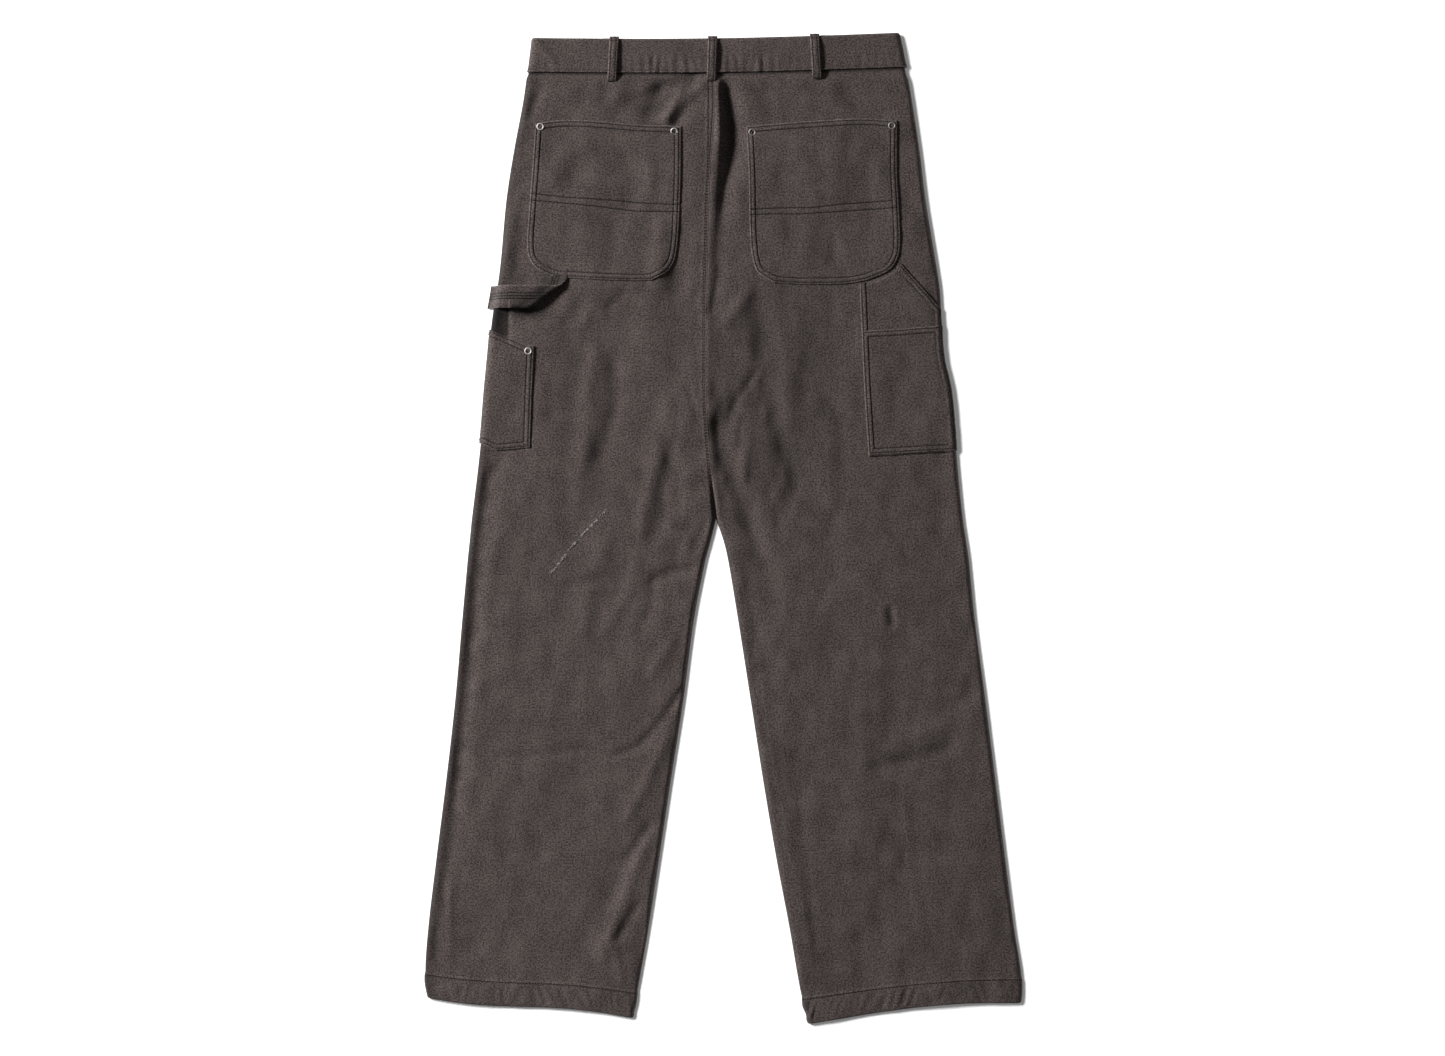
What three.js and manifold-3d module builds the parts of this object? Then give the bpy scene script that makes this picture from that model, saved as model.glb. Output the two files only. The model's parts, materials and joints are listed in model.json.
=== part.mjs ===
import * as THREE from 'three';
import Module from 'manifold-3d';

const solids = await Module();
solids.setup();

// Canvas work trousers laid out flat on their front, back side up.
// Sizes are millimetres: X runs across the waist, Y runs up to the waist, Z rises from the table.

// Cloth and seam sizes
const seamGap = 0.3;
const clothWall = 1.5;
const hemWall = 2.6;
const hemDepth = 27;
const bandWall = 2.4;
const bandHeight = 38;
const pocketPly = 1.6;
const strapPly = 1.8;
const stepOfHem = 0.004;

// Fineness of the panels
const upperRows = 18;
const lowerRows = 13;
const backColumns = 18;
const frontColumns = 4;
const rollSteps = 3;

// Levels where the garment changes
const seatSeamTopY = 498.3;
const crotchY = 9.9;
const crotchRollStart = 0.87;
const edgeFade = 14;
const sideLiftNear = 72;
const sideLiftFar = 150;

// Closing at the centre front
const frontCentreX = -6;
const overlapHalf = 18;
const underlapRise = 2.7;
const underlapRamp = 24;

// Outline of the laid garment: one row for each section across both legs
const sections = [
  { y: 506, leftOut: -215.8, leftIn: -13, rightIn: -13, rightOut: 200.2 },
  { y: 470, leftOut: -220.8, leftIn: -11.2, rightIn: -11.2, rightOut: 206.8 },
  { y: 416, leftOut: -231, leftIn: -14.3, rightIn: -14.3, rightOut: 215.1 },
  { y: 361, leftOut: -239.5, leftIn: -17.1, rightIn: -17.1, rightOut: 221.9 },
  { y: 295, leftOut: -245.6, leftIn: -18.9, rightIn: -18.9, rightOut: 232.7 },
  { y: 262, leftOut: -249.7, leftIn: -19.7, rightIn: -19.7, rightOut: 237.6 },
  { y: 229, leftOut: -255.2, leftIn: -20.3, rightIn: -20.3, rightOut: 239.3 },
  { y: 190, leftOut: -258.9, leftIn: -20.6, rightIn: -20.6, rightOut: 241.6 },
  { y: 152, leftOut: -262.6, leftIn: -20.4, rightIn: -20.4, rightOut: 249.7 },
  { y: 108, leftOut: -266.2, leftIn: -18.3, rightIn: -18.3, rightOut: 254.1 },
  { y: 66, leftOut: -270.6, leftIn: -14.9, rightIn: -14.9, rightOut: 257.2 },
  { y: 9.9, leftOut: -277.6, leftIn: -8.8, rightIn: -8.8, rightOut: 262.9 },
  { y: -14, leftOut: -280, leftIn: -14.5, rightIn: -0.6, rightOut: 266.5 },
  { y: -35, leftOut: -282.2, leftIn: -20.2, rightIn: 4.4, rightOut: 269.5 },
  { y: -101, leftOut: -288.2, leftIn: -33, rightIn: 15.4, rightOut: 276.1 },
  { y: -189, leftOut: -295.9, leftIn: -44.6, rightIn: 29.2, rightOut: 287.7 },
  { y: -277, leftOut: -305.8, leftIn: -58.3, rightIn: 42.9, rightOut: 298.7 },
  { y: -365, leftOut: -316.8, leftIn: -71.5, rightIn: 57.8, rightOut: 309.7 },
  { y: -442, leftOut: -325.8, leftIn: -83.3, rightIn: 72.4, rightOut: 319.6 },
  { y: -492, leftOut: -328.9, leftIn: -92, rightIn: 80.9, rightOut: 327.3 },
  { y: -517, leftOut: -325.6, leftIn: -96.6, rightIn: 85.8, rightOut: 326.8 },
  { y: -546, leftOut: -321, leftIn: -101.6, rightIn: 93, rightOut: 324.5 },
];

// The two legs, each from its outseam in to the seat seam or inseam
const legs = {
  left: {
    out: 'leftOut', in: 'leftIn', inward: 1,
    waistOutY: 500.5, hemOutY: -517, hemInY: -539, hemBow: 1.2, hemSkew: -2.6,
    sideLift: 2.2, sideLiftTop: 236, sideLiftBottom: 72,
  },
  right: {
    out: 'rightOut', in: 'rightIn', inward: -1,
    waistOutY: 506, hemOutY: -522.5, hemInY: -545.6, hemBow: 6.5, hemSkew: 0.8,
    sideLift: 0, sideLiftTop: 236, sideLiftBottom: 72,
  },
};

// Thickness of the laid garment, from waist seam (0) to crotch (1) to hem (2)
const heights = [
  { v: 0, roll: 6.0, lift: 2.4, crown: 0.3 },
  { v: 0.035, roll: 6.1, lift: 2.3, crown: 0.5 },
  { v: 0.13, roll: 6.5, lift: 0.3, crown: 1.0 },
  { v: 0.2, roll: 6.5, lift: 0, crown: 1.3 },
  { v: 0.5, roll: 6.0, lift: 0, crown: 1.6 },
  { v: 1, roll: 5.4, lift: 0, crown: 1.4 },
  { v: 1.5, roll: 5.0, lift: 0, crown: 1.0 },
  { v: 2, roll: 4.8, lift: 0, crown: 0.6 },
];

// Largest folds of the upper layer: run from one point to the other, below zero is a trough
const folds = [
  { x1: 1, y1: 490, x2: 6, y2: 418, width: 10, height: -4.2 },
  { x1: 6, y1: 418, x2: -1, y2: 344, width: 10, height: -4.0 },
  { x1: 10, y1: 318, x2: -10, y2: 236, width: 10, height: -3.4 },
  { x1: -8, y1: 492, x2: -12, y2: 400, width: 6, height: 1.4 },
  { x1: -15, y1: 400, x2: -20, y2: 220, width: 6, height: 0.9 },
  { x1: -20, y1: 220, x2: -14, y2: 70, width: 6, height: 0.8 },
  { x1: -121, y1: 456, x2: -60, y2: 488, width: 9, height: -2.3 },
  { x1: -67, y1: 456, x2: -22, y2: 490, width: 8, height: 1.3 },
  { x1: -64, y1: 442, x2: -28, y2: 470, width: 7, height: -1.4 },
  { x1: 33, y1: 266, x2: 1, y2: 224, width: 9, height: 1.4 },
  { x1: 31, y1: 252, x2: 40, y2: 177, width: 9, height: -2.3 },
  { x1: 40, y1: 177, x2: 0, y2: 108, width: 9, height: -2.4 },
  { x1: 0, y1: 108, x2: 12, y2: 42, width: 9, height: -2.6 },
  { x1: 12, y1: 42, x2: 46, y2: -44, width: 9, height: -1.9 },
  { x1: 40, y1: 177, x2: 74, y2: 24, width: 8, height: -2.0 },
  { x1: 40, y1: 66, x2: 48, y2: 38, width: 13, height: 1.3 },
  { x1: 68, y1: 182, x2: 119, y2: 20, width: 12, height: 1.0 },
  { x1: 103, y1: 158, x2: 131, y2: 62, width: 11, height: -0.9 },
  { x1: -142, y1: 206, x2: -165, y2: 16, width: 13, height: 1.2 },
  { x1: -121, y1: 190, x2: -138, y2: 70, width: 10, height: -1.4 },
  { x1: -63, y1: 146, x2: -91, y2: -8, width: 10, height: 1.1 },
  { x1: -54, y1: 98, x2: -75, y2: -13, width: 9, height: -1.4 },
  { x1: -80, y1: -57, x2: -36, y2: -45, width: 9, height: -1.7 },
  { x1: -258, y1: 60, x2: -297, y2: -320, width: 9, height: -1.3 },
  { x1: -246, y1: -251, x2: -124, y2: -251, width: 9, height: -0.8 },
  { x1: -124, y1: -251, x2: -48, y2: -180, width: 9, height: -1.6 },
  { x1: -78, y1: -322, x2: -107, y2: -366, width: 8, height: -1.4 },
  { x1: -92, y1: -410, x2: -120, y2: -456, width: 8, height: -1.4 },
  { x1: 183, y1: -84, x2: 187, y2: -110, width: 8, height: -1.3 },
  { x1: 161, y1: -261, x2: 252, y2: -240, width: 9, height: -1.4 },
  { x1: 194, y1: -226, x2: 246, y2: -212, width: 10, height: 0.8 },
];

// Patch pockets of the seat: sides down the pocket (t) and top and bottom across it (s)
const seatPocketLeft = {
  leg: 'left',
  sides: [
    { t: 0, left: -207, right: -47 },
    { t: 0.3, left: -210.5, right: -47.2 },
    { t: 0.6, left: -214.5, right: -49 },
    { t: 0.78, left: -216.2, right: -51.2 },
    { t: 0.88, left: -213.5, right: -55 },
    { t: 0.95, left: -203, right: -64 },
    { t: 1, left: -184, right: -80 },
  ],
  levels: [
    { s: 0, top: 444.5, bottom: 275 },
    { s: 0.2, top: 448, bottom: 274 },
    { s: 0.45, top: 446.5, bottom: 272.5 },
    { s: 0.7, top: 443, bottom: 271.5 },
    { s: 1, top: 441.5, bottom: 271.5 },
  ],
};
const seatPocketRight = {
  leg: 'right',
  sides: [
    { t: 0, left: 24.4, right: 190.3 },
    { t: 0.3, left: 27.1, right: 190.3 },
    { t: 0.6, left: 28, right: 192.7 },
    { t: 0.74, left: 29, right: 193.6 },
    { t: 0.85, left: 31.5, right: 191.5 },
    { t: 0.94, left: 38, right: 181 },
    { t: 1, left: 55, right: 157 },
  ],
  levels: [
    { s: 0, top: 441, bottom: 269.5 },
    { s: 0.15, top: 443.5, bottom: 268 },
    { s: 0.5, top: 447.7, bottom: 267.3 },
    { s: 0.8, top: 449.9, bottom: 268.5 },
    { s: 1, top: 447.4, bottom: 272 },
  ],
};
const seatPocketRows = [0, 0.3, 0.6, 0.74, 0.81, 0.87, 0.92, 0.965, 1];

// Rule pockets of the right leg, from the back panel out to the outseam
const ruleSides = [
  { t: 0, left: 149 },
  { t: 0.28, left: 151.2 },
  { t: 0.6, left: 154 },
  { t: 1, left: 158.8 },
];
const ruleUpperLevels = [
  { s: 0, top: 266, bottom: 78.5 },
  { s: 0.09, top: 268.2, bottom: 79 },
  { s: 0.3, top: 274.6, bottom: 80 },
  { s: 0.45, top: 281.8, bottom: 81.4 },
  { s: 0.53, top: 291, bottom: 81.8 },
  { s: 0.6, top: 284.7, bottom: 82 },
  { s: 0.8, top: 262.9, bottom: 83 },
  { s: 1, top: 241, bottom: 84 },
];
const ruleLowerLevels = [
  { s: 0, top: 216.4, bottom: 79.5 },
  { s: 0.5, top: 219, bottom: 82.4 },
  { s: 1, top: 222.6, bottom: 85 },
];
const ruleOutseamOffset = 0.9;

// Tool pocket that wraps round the left outseam, cut alike on both layers
const toolPocketCorners = [
  { x: -300, y: 222 },
  { x: -257, y: 218.5 },
  { x: -230, y: 206.5 },
  { x: -217, y: 201 },
  { x: -208, y: 199.6 },
  { x: -210.5, y: 150 },
  { x: -212.7, y: 88 },
  { x: -249.9, y: 84.8 },
  { x: -267, y: 93 },
  { x: -300, y: 96 },
];
const cutterHeight = 200;

// Hammer loop: path of the strap along the cloth from the outseam, and its rise off the leg
const hammerLoopWidth = 25;
const hammerLoopPath = [
  { d: -3, rise: 0.5, y: 253 },
  { d: 3, rise: 3.4, y: 253 },
  { d: 12, rise: 5.4, y: 253 },
  { d: 24, rise: 5.6, y: 253 },
  { d: 36, rise: 5.6, y: 253.5 },
  { d: 48, rise: 5.2, y: 255 },
  { d: 58, rise: 3.6, y: 256.5 },
  { d: 66, rise: 1.4, y: 258 },
  { d: 73, rise: 0.5, y: 258.5 },
];

// Belt loops: width, and the strap's path from its top end down over the band
const beltLoopWidth = 10.5;
const beltLoopPath = [
  { drop: -2, rise: 0.35 },
  { drop: 3, rise: 0.9 },
  { drop: 9, rise: 2.6 },
  { drop: 17, rise: 3.2 },
  { drop: 25, rise: 3.1 },
  { drop: 33, rise: 2.7 },
  { drop: 40, rise: 2.2 },
  { drop: 44.5, rise: 1.0 },
  { drop: 47.5, rise: 0.35 },
];
const backBeltLoops = [
  { name: 'belt_loop_back_left', x: -120.5, slant: 2.6 },
  { name: 'belt_loop_back_centre', x: -12.4, slant: 1.6 },
  { name: 'belt_loop_back_right', x: 99.4, slant: -2.8 },
];
const frontBeltLoops = [
  { name: 'belt_loop_front_left', x: -128 },
  { name: 'belt_loop_front_right', x: 112 },
];

// Waistband outline, lower edge (w 0) to top edge (w 1)
const band = {
  lower: { leftX: -216.5, leftY: 500.9, rightX: 201.2, rightY: 506.4 },
  upper: { leftX: -211.2, leftY: 538.4, rightX: 193.4, rightY: 544.2 },
  sag: 3.2,
  roll: 6.35,
  lift: 2.3,
};

// Metal parts
const rivetRadius = 4.3;
const rivetHeight = 1.3;
const rivets = [
  { name: 'rivet_seat_pocket_left_outer', leg: 'left', x: -201.6, y: 440.6 },
  { name: 'rivet_seat_pocket_left_inner', leg: 'left', x: -54.6, y: 435.6 },
  { name: 'rivet_seat_pocket_right_inner', leg: 'right', x: 31, y: 434.6 },
  { name: 'rivet_seat_pocket_right_outer', leg: 'right', x: 184.4, y: 441.8 },
  { name: 'rivet_tool_pocket', leg: 'left', x: -214.8, y: 194.2 },
];
const buttonRadius = 8.5;
const buttonHeight = 2;

// Strip of cloth behind the front opening
const flyUnderlap = { left: -30, right: 22, top: 494, bottom: 335, ply: 1.4 };

// Materials
const canvas = new THREE.MeshStandardMaterial({ color: 0x4c4442, roughness: 0.95, metalness: 0 });
const nickel = new THREE.MeshStandardMaterial({ color: 0xb9b6b0, roughness: 0.35, metalness: 0.9 });

function mix(a, b, t) {
  return a + (b - a) * t;
}

function ease(from, to, value) {
  const t = Math.min(Math.max((value - from) / (to - from), 0), 1);
  return t * t * (3 - 2 * t);
}

// Smooth reading of one column of a table between its rows
function readTable(rows, along, name, at) {
  const last = rows.length - 1;
  const direction = Math.sign(rows[last][along] - rows[0][along]);
  let i = 0;
  while (i < last - 1 && direction * (at - rows[i + 1][along]) > 0) {
    i += 1;
  }
  const slope = (k) => {
    const before = rows[Math.max(k - 1, 0)];
    const after = rows[Math.min(k + 1, last)];
    return (after[name] - before[name]) / (after[along] - before[along]);
  };
  const span = rows[i + 1][along] - rows[i][along];
  const t = Math.min(Math.max((at - rows[i][along]) / span, 0), 1);
  const squared = t * t;
  const cubed = squared * t;
  return rows[i][name] * (2 * cubed - 3 * squared + 1)
    + slope(i) * span * (cubed - 2 * squared + t)
    + rows[i + 1][name] * (3 * squared - 2 * cubed)
    + slope(i + 1) * span * (cubed - squared);
}

const sectionsAbove = sections.filter((row) => row.y >= crotchY);
const sectionsBelow = sections.filter((row) => row.y <= crotchY);

function innerEdge(leg, y) {
  const rows = y >= crotchY ? sectionsAbove : sectionsBelow;
  return readTable(rows, 'y', leg.in, y) - leg.inward * seamGap / 2;
}

function foldHeight(x, y) {
  let total = 0;
  for (const fold of folds) {
    const runX = fold.x2 - fold.x1;
    const runY = fold.y2 - fold.y1;
    const length = Math.hypot(runX, runY);
    const along = ((x - fold.x1) * runX + (y - fold.y1) * runY) / length;
    const across = ((x - fold.x1) * runY - (y - fold.y1) * runX) / length;
    const fade = ease(-fold.width, fold.width, along) * ease(-fold.width, fold.width, length - along);
    total += fold.height * fade * Math.exp(-((across / fold.width) ** 2));
  }
  return total;
}

// One section across a leg, at v from waist seam (0) to crotch (1) to hem (2)
function legSection(leg, v) {
  const below = v > 1;
  const t = below ? v - 1 : v;
  const outY = below ? mix(crotchY, leg.hemOutY, t) : mix(leg.waistOutY, crotchY, t);
  const inY = below ? mix(crotchY, leg.hemInY, t) : mix(seatSeamTopY, crotchY, t);
  const side = leg.sideLift
    * ease(leg.sideLiftTop + 60, leg.sideLiftTop, outY)
    * ease(leg.sideLiftBottom - 60, leg.sideLiftBottom, outY);
  return {
    outX: readTable(sections, 'y', leg.out, outY),
    outY,
    inX: innerEdge(leg, inY),
    inY,
    roll: readTable(heights, 'v', 'roll', v),
    lift: Math.max(readTable(heights, 'v', 'lift', v), 0),
    sideLift: side,
    crown: readTable(heights, 'v', 'crown', v),
    innerRoll: ease(crotchRollStart, 1, v),
    bow: below ? leg.hemBow * t ** 4 : 0,
    skew: below ? leg.hemSkew * t ** 4 : 0,
    folded: true,
  };
}

// The waistband's section, at w from its lower edge (0) to its top edge (1)
function bandSection(w) {
  return {
    outX: mix(band.lower.leftX, band.upper.leftX, w),
    outY: mix(band.lower.leftY, band.upper.leftY, w),
    inX: mix(band.lower.rightX, band.upper.rightX, w),
    inY: mix(band.lower.rightY, band.upper.rightY, w),
    roll: band.roll,
    lift: band.lift,
    sideLift: 0,
    crown: 0.3,
    innerRoll: 1,
    bow: -band.sag,
    skew: 0,
    folded: false,
  };
}

// Point of a flattened tube: side 1 is the upper layer and -1 the lower one,
// offset runs in from the outer edge and out moves the point off the cloth
function tubePoint(section, side, offset, out) {
  const dx = section.inX - section.outX;
  const dy = section.inY - section.outY;
  const width = Math.hypot(dx, dy);
  const edge = width - offset;
  const outerCos = Math.min(Math.max(1 - offset / section.roll, 0), 1);
  const innerCos = Math.min(Math.max(1 - edge / section.roll, 0), 1);
  const outerSin = Math.sqrt(1 - outerCos ** 2);
  const innerSin = Math.sqrt(1 - innerCos ** 2);
  const innerShift = Math.min(1, 2 * section.innerRoll);
  const u = (offset - out * outerCos + out * innerShift * innerCos) / width;
  const x = section.outX + dx * u;
  const y = section.outY + dy * u
    + section.bow * Math.sin(Math.PI * u) + section.skew * Math.sin(2 * Math.PI * u);
  const full = outerSin * (1 - section.innerRoll * (1 - innerSin));
  const middle = section.lift + section.sideLift * ease(sideLiftFar, sideLiftNear, offset)
    + section.roll + seamGap / 2;
  let z = middle + side * (seamGap / 2 + (section.roll + out) * full);
  if (side > 0) {
    const fade = ease(0, edgeFade, offset) * (1 - section.innerRoll * ease(edgeFade, 0, edge));
    z += fade * (section.crown + (section.folded ? foldHeight(x, y) : 0));
  }
  return new THREE.Vector3(x, y, z);
}

// Distance along the cloth from the outseam, turned into a layer and an offset
function wrapPoint(section, d, out) {
  const reach = Math.abs(d);
  const quarter = section.roll * Math.PI / 2;
  const offset = reach < quarter
    ? section.roll * (1 - Math.cos(reach / section.roll))
    : section.roll + reach - quarter;
  return tubePoint(section, d < 0 ? -1 : 1, offset, out);
}

// The section and offset of a leg that lie over a place on the table
function findOnLeg(leg, x, y) {
  let v = y > crotchY ? mix(1, 0, (y - crotchY) / (leg.waistOutY - crotchY))
    : mix(1, 2, (crotchY - y) / (crotchY - leg.hemOutY));
  let offset = 0;
  for (let turn = 0; turn < 8; turn += 1) {
    const section = legSection(leg, v);
    const dx = section.inX - section.outX;
    const u = (x - section.outX) / dx;
    offset = u * Math.hypot(dx, section.inY - section.outY);
    const lineY = mix(section.outY, section.inY, u)
      + section.bow * Math.sin(Math.PI * u) + section.skew * Math.sin(2 * Math.PI * u);
    const fall = v > 1 ? crotchY - leg.hemOutY : leg.waistOutY - crotchY;
    v = Math.min(Math.max(v + (lineY - y) / fall, 0), 2);
  }
  return { v, offset };
}

function onLeg(legName, x, y, out) {
  const leg = legs[legName];
  const place = findOnLeg(leg, x, y);
  return tubePoint(legSection(leg, place.v), 1, place.offset, out);
}

// A closed solid between two matching grids of points
function sheetSolid(name, outer, inner, material) {
  const rows = outer.length;
  const columns = outer[0].length;
  const positions = [];
  for (const grid of [outer, inner]) {
    for (const row of grid) {
      for (const point of row) {
        positions.push(point.x, point.y, point.z);
      }
    }
  }
  const at = (layer, i, j) => layer * rows * columns + i * columns + j;
  const indices = [];
  const quad = (a, b, c, d) => indices.push(a, b, c, a, c, d);
  for (let i = 0; i < rows - 1; i += 1) {
    for (let j = 0; j < columns - 1; j += 1) {
      quad(at(0, i, j), at(0, i + 1, j), at(0, i + 1, j + 1), at(0, i, j + 1));
      quad(at(1, i, j), at(1, i, j + 1), at(1, i + 1, j + 1), at(1, i + 1, j));
    }
  }
  for (let i = 0; i < rows - 1; i += 1) {
    quad(at(0, i, 0), at(1, i, 0), at(1, i + 1, 0), at(0, i + 1, 0));
    quad(at(0, i, columns - 1), at(0, i + 1, columns - 1), at(1, i + 1, columns - 1), at(1, i, columns - 1));
  }
  for (let j = 0; j < columns - 1; j += 1) {
    quad(at(0, 0, j), at(0, 0, j + 1), at(1, 0, j + 1), at(1, 0, j));
    quad(at(0, rows - 1, j), at(1, rows - 1, j), at(1, rows - 1, j + 1), at(0, rows - 1, j + 1));
  }
  return solid(name, positions, indices, material);
}

function signedVolume(positions, indices) {
  const corner = (k) => new THREE.Vector3().fromArray(positions, indices[k] * 3);
  let total = 0;
  for (let k = 0; k < indices.length; k += 3) {
    total += corner(k).dot(corner(k + 1).cross(corner(k + 2)));
  }
  return total;
}

function solid(name, positions, indices, material) {
  if (signedVolume(positions, indices) < 0) {
    for (let k = 0; k < indices.length; k += 3) {
      [indices[k + 1], indices[k + 2]] = [indices[k + 2], indices[k + 1]];
    }
  }
  const geometry = new THREE.BufferGeometry();
  geometry.setAttribute('position', new THREE.Float32BufferAttribute(positions, 3));
  geometry.setIndex(indices);
  geometry.computeVertexNormals();
  const mesh = new THREE.Mesh(geometry, material);
  mesh.name = name;
  return mesh;
}

// Rows down a leg, with a close pair where the turned-up hem begins
function legRows(leg) {
  const upper = upperRows;
  const lower = lowerRows;
  const hemStart = 2 - hemDepth / (crotchY - leg.hemOutY);
  const rows = [];
  for (let i = 0; i < upper; i += 1) {
    rows.push(i / upper);
  }
  for (let i = 0; i < lower; i += 1) {
    rows.push(mix(1, hemStart - stepOfHem, i / (lower - 1)));
  }
  rows.push(hemStart, mix(hemStart, 2, 0.5), 2);
  return rows.map((v) => ({ v, wall: v < hemStart ? clothWall : hemWall }));
}

// Offsets across a leg: the outer roll, the flat cloth and the inner roll
function legOffsets(section, flat) {
  const width = Math.hypot(section.inX - section.outX, section.inY - section.outY);
  const offsets = [];
  for (let k = 0; k < rollSteps; k += 1) {
    offsets.push(section.roll * (1 - Math.cos(k / rollSteps * Math.PI / 2)));
  }
  for (let k = 0; k <= flat; k += 1) {
    const even = k / flat;
    const closer = mix(even, 1 - (1 - even) ** 1.8, 0.5);
    offsets.push(mix(section.roll, width - section.roll, closer));
  }
  for (let k = rollSteps - 1; k >= 0; k -= 1) {
    offsets.push(width - section.roll * (1 - Math.cos(k / rollSteps * Math.PI / 2)));
  }
  return offsets;
}

function legPanel(name, legName, side, flat) {
  const leg = legs[legName];
  const outer = [];
  const inner = [];
  for (const row of legRows(leg)) {
    const section = legSection(leg, row.v);
    const offsets = legOffsets(section, flat);
    outer.push(offsets.map((offset) => tubePoint(section, side, offset, 0)));
    inner.push(offsets.map((offset) => tubePoint(section, side, offset, -row.wall)));
  }
  return sheetSolid(name, outer, inner, canvas);
}

// The waistband runs from the underlap at the centre front, round the back, to the overlap
function waistband() {
  const rows = 4;
  const outer = [];
  const inner = [];
  for (let i = 0; i <= rows; i += 1) {
    const section = bandSection(i / rows);
    const width = section.inX - section.outX;
    const centre = frontCentreX - section.outX;
    const path = [];
    for (const [x, rise] of [
      [overlapHalf, underlapRise],
      [0, underlapRise],
      [-overlapHalf - 2, underlapRise],
      [-overlapHalf - 2 - underlapRamp * 0.5, underlapRise * 0.5],
      [-overlapHalf - 2 - underlapRamp, 0],
      [-115, 0],
      [-160, 0],
    ]) {
      path.push({ side: -1, offset: centre + x, rise });
    }
    for (const turn of [90, 60, 30, 0]) {
      path.push({ side: -1, offset: section.roll * (1 - Math.cos(turn * Math.PI / 180)), rise: 0 });
    }
    for (const turn of [30, 60]) {
      path.push({ side: 1, offset: section.roll * (1 - Math.cos(turn * Math.PI / 180)), rise: 0 });
    }
    const across = 24;
    for (let k = 0; k <= across; k += 1) {
      path.push({ side: 1, offset: mix(section.roll, width - section.roll, k / across), rise: 0 });
    }
    for (const turn of [60, 30]) {
      path.push({ side: 1, offset: width - section.roll * (1 - Math.cos(turn * Math.PI / 180)), rise: 0 });
    }
    for (const turn of [0, 30, 60, 90]) {
      path.push({ side: -1, offset: width - section.roll * (1 - Math.cos(turn * Math.PI / 180)), rise: 0 });
    }
    for (const x of [150, 100, 50, -overlapHalf]) {
      path.push({ side: -1, offset: centre + x, rise: 0 });
    }
    outer.push(path.map((step) => bandPoint(section, step, 0)));
    inner.push(path.map((step) => bandPoint(section, step, -bandWall)));
  }
  return sheetSolid('waistband', outer, inner, canvas);
}

// The folded ends of the band are one cloth, so the gap between layers closes there
function bandPoint(section, step, out) {
  const point = tubePoint(section, step.side, step.offset, out - step.rise);
  const width = Math.hypot(section.inX - section.outX, section.inY - section.outY);
  const edge = Math.min(step.offset, width - step.offset);
  const closing = edge < section.roll ? 1 - edge / section.roll : 0;
  point.z -= closing * step.side * seamGap / 2;
  return point;
}

// The cloth of a pocket before it is cut: the panel's own points moved out, round the outseam
function pocketCloth(legName, under, ply, top, bottom, wrapped) {
  const leg = legs[legName];
  const spacing = (leg.waistOutY - crotchY) / upperRows;
  const rows = legRows(leg).filter((row) => {
    const section = legSection(leg, row.v);
    return row.v <= 1 && section.outY < top + 1.5 * spacing && section.outY > bottom - 1.5 * spacing;
  });
  const layer = (out) => rows.map((row) => {
    const section = legSection(leg, row.v);
    const back = legOffsets(section, backColumns);
    const points = back.map((offset) => tubePoint(section, 1, offset, out));
    if (wrapped) {
      const front = legOffsets(section, frontColumns).slice(1, rollSteps + 2).reverse();
      points.unshift(...front.map((offset) => tubePoint(section, -1, offset, out)));
    }
    return points;
  });
  return sheetSolid('', layer(under + ply), layer(under), canvas);
}

// Cuts the cloth along an outline seen from above
function cutOut(name, cloth, outline) {
  const form = new solids.Mesh({
    numProp: 3,
    vertProperties: new Float32Array(cloth.geometry.getAttribute('position').array),
    triVerts: new Uint32Array(cloth.geometry.getIndex().array),
  });
  const cutter = solids.Manifold.extrude([outline], cutterHeight).translate([0, 0, -cutterHeight / 2]);
  const cut = new solids.Manifold(form).intersect(cutter).getMesh();
  return solid(name, Array.from(cut.vertProperties), Array.from(cut.triVerts), canvas);
}

function evenly(count) {
  return Array.from({ length: count + 1 }, (_, k) => k / count);
}

// Outline of a pocket, anticlockwise from its upper left corner
function pocketOutline(place, acrossSteps, downSteps) {
  return [
    ...downSteps.map((t) => place(0, t)),
    ...acrossSteps.slice(1).map((s) => place(s, 1)),
    ...downSteps.slice(0, -1).reverse().map((t) => place(1, t)),
    ...acrossSteps.slice(1, -1).reverse().map((s) => place(s, 0)),
  ];
}

function seatPocket(name, pocket) {
  const place = (s, t) => [
    mix(readTable(pocket.sides, 't', 'left', t), readTable(pocket.sides, 't', 'right', t), s),
    mix(readTable(pocket.levels, 's', 'top', s), readTable(pocket.levels, 's', 'bottom', s), t),
  ];
  const cloth = pocketCloth(pocket.leg, seamGap, pocketPly, 450, 267, false);
  return cutOut(name, cloth, pocketOutline(place, evenly(6), seatPocketRows));
}

function rulePocket(name, levels, columns, under) {
  const outseam = (y) => readTable(sections, 'y', 'rightOut', y) - ruleOutseamOffset;
  const place = (s, t) => {
    const y = mix(readTable(levels, 's', 'top', s), readTable(levels, 's', 'bottom', s), t);
    const down = (266 - y) / (266 - 78.5);
    const left = readTable(ruleSides, 't', 'left', Math.min(Math.max(down, 0), 1));
    return [mix(left, outseam(y), s), y];
  };
  const cloth = pocketCloth('right', under, pocketPly, 292, 78, false);
  return cutOut(name, cloth, pocketOutline(place, columns, evenly(8)));
}

function wrappedToolPocket() {
  const cloth = pocketCloth('left', seamGap, pocketPly, 224, 85, true);
  const outline = toolPocketCorners.map((corner) => [corner.x, corner.y]).reverse();
  return cutOut('tool_pocket_left', cloth, outline);
}

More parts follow.
